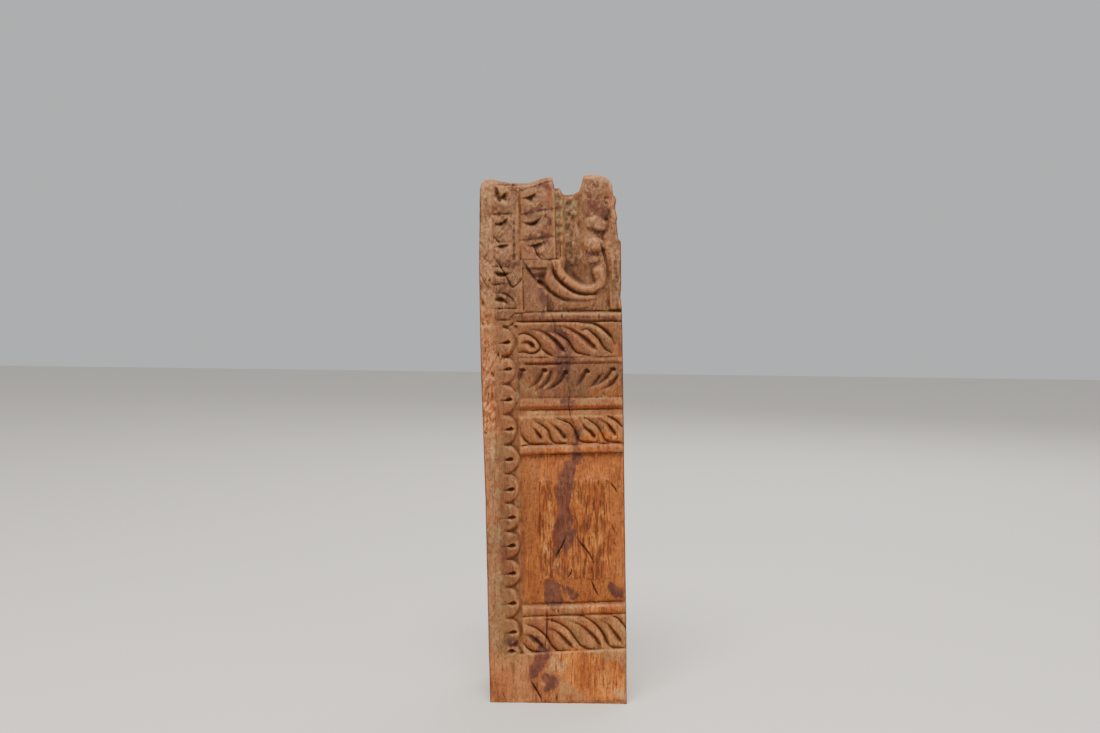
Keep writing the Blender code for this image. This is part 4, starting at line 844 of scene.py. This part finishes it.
for seed, (side, (board, checks)) in enumerate(CHECKS.items()):
    for points in checks:
        board.cut("cracks", points, (0.5, 1.6, 1.4, 0.4), (0.6, 2.6, 2.2, 0.4))
        board.cut("crack_and_painted_shade", points, (1.2, 3.0, 2.6, 1.0), (0.5, 1.0, 1.0, 0.4), shape=0.7)
    stretch = 4.0 if side == "top" else 26.0
    board["worn"] = np.clip(0.55 + 0.3 * board.rough(20 + seed, 30.0, 60.0), 0.2, 1.0)
    grain_depth = 0.12 * board.rough(30 + seed, 1.8, stretch)
    board["depth"] = 0.45 + grain_depth + 0.22 * board.rough(40 + seed, 16.0, 30.0)
    board["depth"] += board["cracks"]
    board["grey"] = np.clip(0.55 + 0.35 * board.rough(50 + seed, 24.0, 60.0), 0.0, 1.0)
    board["clean"] = np.clip(0.3 * board.rough(60 + seed, 20.0, 50.0), 0.0, 0.6)
    board["stain"] = np.clip(board.rough(70 + seed, 18.0, 40.0) - 1.5, 0.0, 0.8)
    if side in ("left", "right"):
        board["arris"] = smooth(np.minimum(board.u, DEEP - board.u), 3.4, 0.6)
        board["depth"] += np.clip(1.0 - (DEEP - board.u), 0.0, 1.0)
    if side == "back":
        saw_curve = 0.018 * (board.u - 60.0) ** 2 * 0.2
        sawn = np.sin(board.w * 2.0 * math.pi / 3.1 + saw_curve + board.rough(80, 60.0, 40.0))
        board["depth"] += 0.10 * sawn * smooth(board.rough(81, 50.0, 60.0), -1.0, 0.6)
        board["depth"] = np.clip(board["depth"] - 0.45, 0.0, 9.0) * smooth(board.w, 0.0, 3.0)
    if side == "top":
        torn_ends = 0.7 + 0.55 * board.rough(82, 3.0, 9.0) + 0.3 * board.rough(83, 9.0, 14.0)
        board["depth"] = np.clip(torn_ends + board["cracks"], 0.0, 4.0)
    board["eaten"] += 0.12
    board["hollow"] = np.clip((board["depth"] - board.blurred(board["depth"], 3.2)) / 1.6, 0.0, 1.0)
print("checks on plain sides:", sum(len(checks) for _, checks in CHECKS.values()))

# %% [markdown]
# ## From boards to a block
# The front is a fine grid of points, each pushed in by its depth. Rings of coarser points carry
# the outline back to a coarse grid for the rear. One row of many-sided faces joins the fine edge
# to the first coarse ring, so the mesh is closed and no triangle is spent where nobody looks.

# %% Lattice of the block
COLUMNS, ROWS, COARSE, RINGS = 192, 738, 3, 46
UPRIGHT_TO = 106.0
LAYERS = ("field", "bevel", "blush", "under", "over", "eaten", "dull_tone_and_shade", "hollow", "crest", "stain", "clean",
          "pale", "green", "torn", "crack_and_painted_shade", "grey", "worn", "arris", "dashes")


def laid_out(across, up):
    """Places of a flat grid on the block's outline. Columns beyond UPRIGHT_TO bend to the right side."""
    beyond = np.maximum(across - UPRIGHT_TO, 0.0)
    crown_up = crown_top(np.minimum(across, UPRIGHT_TO) + beyond * 6.6 / (BODY - UPRIGHT_TO))
    shoulder = SPANS["crown"][0]
    raised = shoulder + (crown_up - shoulder) * (up - shoulder) / (TOP - shoulder)
    height = np.where(up > shoulder, raised, up)
    bend = beyond / (BODY - UPRIGHT_TO) * (right_side(height) - UPRIGHT_TO)
    place = np.minimum(across, UPRIGHT_TO) + bend
    foot_up = (FOOT / 2 - place) * math.tan(LEAN)
    tilted = height + across * np.interp(height, *TILT)
    tilted = tilted + (foot_up - across * np.interp(height, *TILT)) * np.clip(1.0 - up / 12.0, 0.0, 1.0)
    place = place + left_side(height) * np.clip(1.0 - across / 9.4, 0.0, 1.0)
    return place, tilted


def in_frame(u, w, y):
    """Millimetres in the block's own frame to metres in the shared frame."""
    x = (u - FOOT / 2) * math.cos(LEAN) - w * math.sin(LEAN)
    z = (u - FOOT / 2) * math.sin(LEAN) + w * math.cos(LEAN)
    return np.stack([x, y, z], axis=-1) * MM


def walk(columns, rows):
    """The edge of a grid as column and row pairs, once round."""
    return ([(i, 0) for i in range(columns)] + [(columns, j) for j in range(rows)]
            + [(i, rows) for i in range(columns, 0, -1)] + [(0, j) for j in range(rows, 0, -1)])


i, j = np.meshgrid(np.arange(COLUMNS + 1), np.arange(ROWS + 1), indexing="ij")
fu, fw = laid_out(i * BODY / COLUMNS, j * TOP / ROWS)
fine_depth = front.read("depth", fu, fw)
fine_points = in_frame(fu, fw, fine_depth - DEEP / 2)
fine_layers = {name: front.read(name, fu, fw) for name in LAYERS}
number = i * (ROWS + 1) + j
print("front points:", number.size)

# %% Rings round the sides and a coarse back
border = np.array(walk(COLUMNS, ROWS))
anchors = border[::COARSE]
ring_u, ring_w = fu[tuple(anchors.T)], fw[tuple(anchors.T)]
ring_y = fine_depth[tuple(anchors.T)]
on_left, on_right = anchors[:, 0] == 0, anchors[:, 0] == COLUMNS
on_foot, on_top = anchors[:, 1] == 0, anchors[:, 1] == ROWS
ring_points, ring_layers = [], {name: [] for name in LAYERS}
for ring in range(1, RINGS + 1):
    inward = ring_y + (DEEP - ring_y) * (ring / RINGS) ** 0.9
    fade = smooth(ring, 0.0, 4.0) if ring < RINGS else 1.0
    height_fade = np.clip(ring_w / 6.0, 0.0, 1.0)
    u_now = ring_u + fade * height_fade * (on_left * left_board.read("depth", inward, ring_w)
                                           - on_right * right_board.read("depth", inward, ring_w))
    w_now = ring_w - fade * on_top * top_board.read("depth", ring_u, inward)
    ring_points.append(in_frame(u_now, w_now, inward - DEEP / 2))
    for name in LAYERS:
        values = np.where(on_left, left_board.read(name, inward, ring_w),
                          right_board.read(name, inward, ring_w))
        values = np.where(on_top | on_foot, top_board.read(name, ring_u, inward), values)
        ring_layers[name].append(values)
bi, bj = np.meshgrid(np.arange(COARSE, COLUMNS, COARSE), np.arange(COARSE, ROWS, COARSE), indexing="ij")
back_u, back_w = fu[bi, bj], fw[bi, bj]
back_points = in_frame(back_u, back_w, DEEP / 2 - back_board.read("depth", back_u, back_w))
back_layers = {name: back_board.read(name, back_u, back_w) for name in LAYERS}
print("ring points:", len(ring_points) * len(anchors), "back points:", back_u.size)

# %% Faces
def quads(grid):
    """The four-cornered faces between a grid's points."""
    corners = [grid[:-1, :-1], grid[1:, :-1], grid[1:, 1:], grid[:-1, 1:]]
    return np.stack(corners, axis=-1).reshape(-1, 4).tolist()


faces = quads(number)
total = number.size
around = len(anchors)
rim = number[tuple(border.T)]
first_ring = total + np.arange(around)
for m in range(around):
    fine = [int(rim[(COARSE * m + k) % len(rim)]) for k in range(COARSE + 1)]
    faces.append(fine + [int(first_ring[(m + 1) % around]), int(first_ring[m])])
for ring in range(RINGS - 1):
    start = total + ring * around
    m = np.arange(around)
    after = (m + 1) % around
    above = start + around
    faces += np.stack([start + m, start + after, above + after, above + m], axis=-1).tolist()
rear = np.empty((COLUMNS // COARSE + 1, ROWS // COARSE + 1), int)
rear[1:-1, 1:-1] = total + RINGS * around + np.arange(back_u.size).reshape(back_u.shape)
rear[tuple((anchors // COARSE).T)] = total + (RINGS - 1) * around + np.arange(around)
faces += quads(rear)
points = np.vstack([fine_points.reshape(-1, 3), np.vstack(ring_points), back_points.reshape(-1, 3)])
print("faces before thinning:", len(faces))

# %% The closed mesh with its layers
carved = bpy.data.meshes.new("carved_block")
carved.from_pydata(points.tolist(), [], faces)
shell = bmesh.new()
shell.from_mesh(carved)
bmesh.ops.recalc_face_normals(shell, faces=shell.faces)
open_edges = sum(len(edge.link_faces) != 2 for edge in shell.edges)
shell.to_mesh(carved)
shell.free()
for name in LAYERS:
    values = np.concatenate([fine_layers[name].ravel(), *ring_layers[name], back_layers[name].ravel()])
    carved.attributes.new(name, "FLOAT", "POINT").data.foreach_set("value", values.astype(np.float32))
print("edges left open:", open_edges)

# %% [markdown]
# ## Weathering with Geometry Nodes
# Rain and dry air leave the soft fibres lower than the hard ones, on every side of the block.
# That follows a rule, so a node tree does it: a noise stretched along the grain pushes each point
# in along its normal, more where the layer called worn is high. A second noise opens small pits.
# The tree has named inputs, so the same tree can age any other timber.

# %% Build the weathering tree
def weathering_tree():
    tree = bpy.data.node_groups.new("weathered_timber", "GeometryNodeTree")
    face = tree.interface
    face.new_socket("Geometry", in_out="INPUT", socket_type="NodeSocketGeometry")
    for name, value in (("Grain Depth", 0.00022), ("Grain Spacing", 0.0012), ("Fibre Length", 0.014),
                        ("Pit Depth", 0.0003), ("Pit Spacing", 0.0026), ("Seed", 7.0)):
        face.new_socket(name, in_out="INPUT", socket_type="NodeSocketFloat").default_value = value
    face.new_socket("Timber", in_out="INPUT", socket_type="NodeSocketMaterial")
    face.new_socket("Geometry", in_out="OUTPUT", socket_type="NodeSocketGeometry")
    add, link = tree.nodes.new, tree.links.new
    inlet, outlet = add("NodeGroupInput"), add("NodeGroupOutput")

    def node(kind, settings, *values):
        made = add(kind)
        for name, value in settings.items():
            setattr(made, name, value)
        for socket, value in zip(made.inputs, values):
            if isinstance(value, bpy.types.NodeSocket):
                link(value, socket)
            elif value is not None:
                socket.default_value = value
        return made

    def maths(operation, *values):
        return node("ShaderNodeMath", {"operation": operation}, *values).outputs[0]

    where = node("ShaderNodeSeparateXYZ", {}, add("GeometryNodeInputPosition").outputs[0]).outputs
    wide, long = inlet.outputs["Grain Spacing"], inlet.outputs["Fibre Length"]
    seed = inlet.outputs["Seed"]
    along = node("ShaderNodeCombineXYZ", {}, maths("DIVIDE", where[0], wide),
                 maths("DIVIDE", where[1], wide), maths("DIVIDE", where[2], long)).outputs[0]
    grain = node("ShaderNodeTexNoise", {"noise_dimensions": "4D"}, along, seed, 1.0, 3.0, 0.6)
    place = add("GeometryNodeInputPosition").outputs[0]
    spots = node("ShaderNodeVectorMath", {"operation": "SCALE"}, place)
    link(maths("DIVIDE", 1.0, inlet.outputs["Pit Spacing"]), spots.inputs["Scale"])
    pits = node("ShaderNodeTexNoise", {"noise_dimensions": "4D"}, spots.outputs[0], seed, 1.0, 2.0, 0.5)
    worn = node("GeometryNodeInputNamedAttribute", {"data_type": "FLOAT"}, "worn").outputs[0]
    full_fibre = maths("MULTIPLY", grain.outputs[0], inlet.outputs["Grain Depth"])
    fibre = maths("MULTIPLY", full_fibre, maths("ADD", worn, 0.35))
    deep_pits = maths("MAXIMUM", maths("SUBTRACT", pits.outputs[0], 0.56), 0.0)
    full_pits = maths("MULTIPLY", maths("MULTIPLY", deep_pits, 6.0), inlet.outputs["Pit Depth"])
    pitted = maths("MULTIPLY", full_pits, worn)
    above_foot = node("ShaderNodeMapRange", {}, where[2], 0.001, 0.006, 0.0, 1.0).outputs[0]
    off_back = node("ShaderNodeMapRange", {}, where[1], 0.0446, 0.0438, 0.0, 1.0).outputs[0]
    amount = maths("MULTIPLY", maths("MULTIPLY", maths("ADD", fibre, pitted), above_foot), off_back)
    push = node("ShaderNodeVectorMath", {"operation": "SCALE"}, add("GeometryNodeInputNormal").outputs[0])
    link(maths("MULTIPLY", amount, -1.0), push.inputs["Scale"])
    moved = add("GeometryNodeSetPosition")
    link(inlet.outputs["Geometry"], moved.inputs["Geometry"])
    link(push.outputs[0], moved.inputs["Offset"])
    real = node("GeometryNodeRealizeInstances", {}, moved.outputs[0])
    dressed = add("GeometryNodeSetMaterial")
    link(real.outputs[0], dressed.inputs["Geometry"])
    link(inlet.outputs["Timber"], dressed.inputs["Material"])
    link(dressed.outputs[0], outlet.inputs["Geometry"])
    return tree


timber_tree = weathering_tree()
sockets = {item.name: item.identifier for item in timber_tree.interface.items_tree
           if item.in_out == "INPUT"}
print("weathering inputs:", list(sockets))

# %% Weather and thin the block
MOST_TRIANGLES = 190000
timber = bpy.data.materials.new("weathered_hardwood")
draft = bpy.data.objects.new("corbel_draft", carved)
bpy.context.scene.collection.objects.link(draft)
ageing = draft.modifiers.new("Weathering", "NODES")
ageing.node_group = timber_tree
for name, value in (
    ("Grain Depth", 0.00026), ("Grain Spacing", 0.0012), ("Fibre Length", 0.014), ("Pit Depth", 0.00032),
    ("Pit Spacing", 0.0026), ("Seed", 7), ("Timber", timber)):
    ageing[sockets[name]] = value
thinned = draft.modifiers.new("Thinned", "DECIMATE")
triangles = sum(len(face) - 2 for face in faces)
thinned.ratio = MOST_TRIANGLES / triangles
evaluated = draft.evaluated_get(bpy.context.evaluated_depsgraph_get())
mesh = bpy.data.meshes.new_from_object(evaluated)
mesh.name = "corbel_block"
draft.modifiers.clear()
bpy.data.objects.remove(draft, do_unlink=True)
block = bpy.data.objects.new("corbel_block", mesh)
bpy.context.scene.collection.objects.link(block)
mesh.calc_loop_triangles()
kept_layers = set(LAYERS) & set(mesh.attributes.keys())
print("triangles:", triangles, "thinned to", len(mesh.loop_triangles), "layers kept:", len(kept_layers))

# %% [markdown]
# ## The wood
# Old waxed hardwood is never one colour. Its body is a warm brown with darker pores along the
# grain. Rubbed and broken places show orange wood, weather greys it, an old stain has dyed the
# crack's sides purple-brown, and the hollows are darker, partly with dirt and partly as painted
# shade. Faces that tilt down get painted shade and faces that tilt up a painted highlight. One
# small class turns Python sums into shader nodes, so the recipe reads like a formula.

# %% Sums that become nodes
class Wire:
    """A socket whose sums add nodes to the tree."""

    tree = None

    def __init__(self, socket):
        self.socket = socket

    @classmethod
    def node(cls, kind, settings, sockets, output=0):
        """Adds a node: its settings first, then the values or wires of its sockets."""
        made = cls.tree.nodes.new(kind)
        for name, value in settings.items():
            setattr(made, name, value)
        for key, value in sockets.items():
            if isinstance(value, Wire):
                cls.tree.links.new(value.socket, made.inputs[key])
            else:
                made.inputs[key].default_value = value
        return cls(made.outputs[output])

    def maths(self, operation, other=0.0, swap=False, clamp=False):
        first, second = (other, self) if swap else (self, other)
        settings = {"operation": operation, "use_clamp": clamp}
        return Wire.node("ShaderNodeMath", settings, {0: first, 1: second})

    def __add__(self, other):
        return self.maths("ADD", other)

    __radd__ = __add__

    def __mul__(self, other):
        return self.maths("MULTIPLY", other)

    __rmul__ = __mul__

    def __sub__(self, other):
        return self.maths("SUBTRACT", other)

    def __rsub__(self, other):
        return self.maths("SUBTRACT", other, swap=True)

    def clipped(self):
        return self.maths("ADD", 0.0, clamp=True)

    def between(self, low, high):
        """0 below low, 1 above high, smooth between them."""
        return Wire.node("ShaderNodeMapRange", {"interpolation_type": "SMOOTHSTEP"},
                         {0: self, 1: low, 2: high, 3: 0.0, 4: 1.0})


def layer(name):
    return Wire.node("ShaderNodeAttribute", {"attribute_name": name}, {}, "Fac")


def stretched(scale):
    """Object coordinates with each axis scaled, for patterns that follow the grain."""
    return Wire.node("ShaderNodeMapping", {}, {"Vector": Wire.node("ShaderNodeTexCoord", {}, {}, "Object"),
                                               "Scale": scale})


def noise(scale, detail=3.0, roughness=0.55):
    return Wire.node("ShaderNodeTexNoise", {}, {"Vector": stretched(scale), "Scale": 1.0, "Detail": detail,
                                                "Roughness": roughness}, "Fac")


def linear(red, green, blue, richness=1.0):
    """A display colour from 0 to 255 as the linear colour that a shader takes, made richer if asked."""
    mean = (red + green + blue) / 3
    rich = [min(max(mean + richness * (c - mean), 3.0), 250.0) for c in (red, green, blue)]
    return tuple(((c / 255 + 0.055) / 1.055) ** 2.4 for c in rich) + (1.0,)


def tint(red, green, blue):
    """A colour read off the wood, which soft light on screen pales, so it is made a little richer."""
    return linear(red, green, blue, 1.16)


def blend(base, colour, mask):
    return Wire.node("ShaderNodeMix", {"data_type": "RGBA"}, {0: mask, 6: base, 7: colour}, 2)


def darkened(base, factor):
    """A colour times a number."""
    return Wire.node("ShaderNodeVectorMath", {"operation": "SCALE"}, {0: base, "Scale": factor})


timber.use_nodes = True
Wire.tree = timber.node_tree
Wire.tree.nodes.clear()
print("grey test colour:", [round(c, 3) for c in linear(128, 128, 128)[:3]])

# %% Patterns from broad to fine
broad = noise((22.0, 22.0, 9.0), 3.0)
patches = noise((70.0, 70.0, 46.0), 4.0, 0.6)
mottle = noise((190.0, 190.0, 130.0), 4.0, 0.65)
speckle = noise((620.0, 620.0, 380.0), 3.0, 0.6)
streaks = noise((240.0, 240.0, 12.0), 3.0, 0.6)
grain = noise((680.0, 680.0, 42.0), 4.0, 0.65)
pores = noise((1500.0, 1500.0, 110.0), 2.0, 0.6).between(0.58, 0.70)
slanting = Wire.node("ShaderNodeMapping", {"vector_type": "TEXTURE"}, {
    "Vector": Wire.node("ShaderNodeTexCoord", {}, {}, "Object"), "Rotation": (0.0, 0.55, 0.0),
    "Scale": (1 / 480, 1 / 480, 1 / 130)})
crosswise = Wire.node("ShaderNodeTexNoise", {}, {"Vector": slanting, "Scale": 1.0, "Detail": 4.0,
                                                 "Roughness": 0.65, "Distortion": 0.8}, "Fac")
eaten = layer("eaten")
straight = 1.0 - 0.7 * eaten
ragged = (mottle - 0.5) * 0.9 + (patches - 0.5) * 0.8 + (speckle - 0.5) * 0.5
print("nodes in the patterns:", len(Wire.tree.nodes))

# %% The recipe
body = blend(tint(150, 92, 58), tint(172, 118, 76), (broad * 0.6 + patches * 0.4).between(0.38, 0.62))
body = blend(body, tint(150, 116, 76), noise((31.0, 31.0, 17.0), 3.0).between(0.48, 0.66) * 0.6)
body = blend(body, tint(120, 68, 40), streaks.between(0.50, 0.75) * 0.5)
drift = streaks * 0.2 + patches * 0.5 + mottle * 0.3
orange = blend(tint(166, 90, 38), tint(204, 134, 66), drift.between(0.40, 0.60))
orange = blend(orange, tint(128, 62, 26), (grain * 0.6 + mottle * 0.4).between(0.47, 0.60) * 0.8)
colour = blend(body, orange, (layer("clean") + ragged).between(0.25, 0.75) * 0.90)
grey = blend(tint(168, 128, 94), tint(112, 80, 58), (crosswise * 0.4 + patches * 0.6).between(0.40, 0.60))
colour = blend(colour, grey, (layer("grey") + ragged).between(0.30, 0.85) * 0.70)
torn = blend(tint(212, 150, 98), tint(176, 96, 48), crosswise.between(0.40, 0.56))
torn = blend(torn, tint(112, 54, 28), (crosswise * 0.5 + mottle * 0.5).between(0.50, 0.60))
colour = blend(colour, torn, (layer("torn") + ragged).between(0.30, 0.70) * 0.85)
colour = blend(colour, tint(206, 160, 108), (layer("pale") + ragged).between(0.35, 0.95) * 0.50)
colour = blend(colour, tint(160, 132, 108), 0.25 * eaten)
colour = blend(colour, tint(164, 95, 45), layer("bevel") * 0.62)
colour = blend(colour, tint(146, 76, 28), layer("field") * patches.between(0.66, 0.36) * 0.55)
colour = blend(colour, tint(150, 88, 66), (layer("blush") + ragged).between(0.35, 0.95) * 0.5)
# Painted shade: faces that tilt down are painted a darker orange-brown, turning plum-brown where eaten.
painted_underside_shade = blend(tint(152, 64, 18), tint(108, 66, 52), eaten.between(0.75, 1.0))
colour = blend(colour, painted_underside_shade, (layer("under") + ragged * 0.5).between(0.25, 0.90) * 0.7)
# Painted highlight: faces that tilt up are painted lighter, more where the wood is eaten.
painted_top_light = (layer("over") + ragged * 0.6).between(0.35, 1.0) * (0.18 + 0.32 * eaten)
colour = blend(colour, tint(206, 152, 106), painted_top_light)
plum = blend(tint(104, 64, 56), tint(74, 44, 40), mottle.between(0.42, 0.58))
colour = blend(colour, plum, (layer("stain") + ragged * 1.9).between(0.30, 0.85) * (0.55 + 0.5 * mottle))
colour = blend(colour, tint(92, 42, 16), (layer("dashes") * 0.8 + grain * 0.3).between(0.22, 0.8) * 0.7)
print("nodes so far:", len(Wire.tree.nodes))

# %% Pores, dirt and painted shade, moss and rubbed edges
colour = darkened(colour, (0.20 + 1.60 * mottle) * (0.25 + 1.50 * speckle) * (0.55 + 0.90 * patches))
colour = blend(colour, tint(84, 48, 28), mottle.between(0.54, 0.66) * 0.45)
colour = blend(colour, tint(74, 42, 26), speckle.between(0.55, 0.66) * 0.55)
colour = blend(colour, tint(78, 44, 26), pores * 0.7 * straight)
colour = blend(colour, tint(84, 50, 30), grain.between(0.52, 0.66) * 0.5 * straight)
colour = blend(colour, tint(76, 48, 30), crosswise.between(0.52, 0.66) * 0.45 * eaten)
colour = blend(colour, tint(196, 148, 108), crosswise.between(0.46, 0.36) * 0.30 * eaten)
colour = blend(colour, tint(96, 58, 40), patches.between(0.48, 0.62) * 0.45 * eaten)
colour = blend(colour, tint(88, 60, 44), speckle.between(0.50, 0.62) * 0.35 * eaten)
# Darker tone per course, with painted shade in the groove's strip, volute hollow and knobs' left side.
colour = darkened(colour, 1.0 - 0.50 * (layer("dull_tone_and_shade") + 0.3 * ragged).clipped())
colour = blend(colour, tint(212, 152, 102), (layer("crest") * (0.4 + mottle)).between(0.35, 1.05) * 0.28)
# Hollows are painted darker, partly as dirt and partly as painted shade.
colour = blend(colour, tint(56, 32, 18), (layer("hollow") + ragged * 0.4).between(0.15, 1.0) * 0.62)
colour = blend(colour, tint(62, 36, 22), (layer("arris") + ragged).between(0.45, 0.95) * 0.50)
moss = (layer("green") + ragged * 1.6 + (speckle - 0.5) * 1.4).between(0.55, 1.05)
colour = blend(colour, tint(138, 130, 94), moss * 0.5)
# Dark cracks, and painted shade under the crown's lips, in the veins and round the panel's field.
colour = blend(colour, tint(34, 19, 12), layer("crack_and_painted_shade").between(0.2, 0.8) * 0.80)
roughness = 0.62 + 0.16 * grain + 0.12 * layer("grey") - 0.14 * layer("clean")
relief = grain * 0.5 * straight + crosswise * 0.5 * eaten - pores * 0.5 + mottle * 1.2 + speckle * 0.6
relief = relief + noise((2600.0, 2600.0, 900.0), 2.0) * 0.2
bump = Wire.node("ShaderNodeBump", {}, {"Strength": 0.7, "Distance": 0.0006, "Height": relief})
shader = Wire.node("ShaderNodeBsdfPrincipled", {}, {
    "Base Color": colour, "Roughness": roughness.clipped(), "Metallic": 0.0,
    "Specular IOR Level": 0.32, "Normal": bump})
surface = Wire.tree.nodes.new("ShaderNodeOutputMaterial")
Wire.tree.links.new(shader.socket, surface.inputs["Surface"])
print("nodes in the wood:", len(Wire.tree.nodes))

# %% Ride, replace and put on the finish
if block.data.materials[:] != [timber]:
    block.data.materials.clear()
    block.data.materials.append(timber)
mesh.shade_smooth()
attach(block, "root")
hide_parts("corbel")

# %% [markdown]
# ## Floor, light and camera
# The block stands on a plain pale floor in soft studio light: a wide lamp high in front and a
# little to the left, a weak one from the right, one behind, and a pale sky. The camera looks a
# little down, from the height and distance that the outline's perspective gives, and is turned
# by less than one degree.

# %% Stage
def plain_material(name, hue, roughness):
    made = bpy.data.materials.new(name)
    made.use_nodes = True
    inputs = made.node_tree.nodes["Principled BSDF"].inputs
    inputs["Base Color"].default_value = hue
    inputs["Roughness"].default_value = roughness
    return made


floor_mesh = bpy.data.meshes.new("floor")
FLOOR_HALF = 4.0
floor_corners = [(FLOOR_HALF * x, FLOOR_HALF * y, 0.0) for x, y in ((-1, -1), (1, -1), (1, 1), (-1, 1))]
floor_mesh.from_pydata(floor_corners, [], [(0, 1, 2, 3)])
floor_mesh.materials.append(plain_material("pale_floor", linear(226, 220, 210), 0.8))
floor = bpy.data.objects.new("floor", floor_mesh)
bpy.context.scene.collection.objects.link(floor)


def lamp(name, place, aim, size, power, hue):
    light = bpy.data.lights.new(name, "AREA")
    light.shape, light.size, light.energy, light.color = "SQUARE", size, power, hue
    made = bpy.data.objects.new(name, light)
    made.location = place
    made.rotation_euler = (Vector(aim) - Vector(place)).to_track_quat("-Z", "Y").to_euler()
    bpy.context.scene.collection.objects.link(made)


lamp("key_light", (-0.2, -0.95, 2.05), (0.0, 0.0, 0.22), 0.9, 54.0, (1.0, 0.97, 0.93))
lamp("fill_light", (1.5, -1.5, 0.7), (0.0, 0.0, 0.22), 1.4, 9.0, (0.95, 0.97, 1.0))
lamp("back_light", (0.6, 1.6, 1.5), (0.0, 0.0, 0.25), 1.4, 20.0, (1.0, 1.0, 1.0))
world = bpy.data.worlds.new("studio")
world.use_nodes = True
sky = world.node_tree.nodes["Background"].inputs
sky["Color"].default_value = (0.80, 0.81, 0.83, 1.0)
sky["Strength"].default_value = 0.68
bpy.context.scene.world = world

camera = bpy.data.objects.new("camera", bpy.data.cameras.new("camera"))
camera.data.lens = 52.0
camera.data.sensor_width = 36.0
tilt_down, roll = math.radians(90.0 - 3.84), math.radians(0.75)
camera.matrix_world = (Matrix.Translation((-0.0112, -1.4006, 0.384)) @ Matrix.Rotation(tilt_down, 4, "X")
                       @ Matrix.Rotation(roll, 4, "Z"))
bpy.context.scene.collection.objects.link(camera)
bpy.context.scene.camera = camera
print("camera:", [round(c, 4) for c in camera.location])
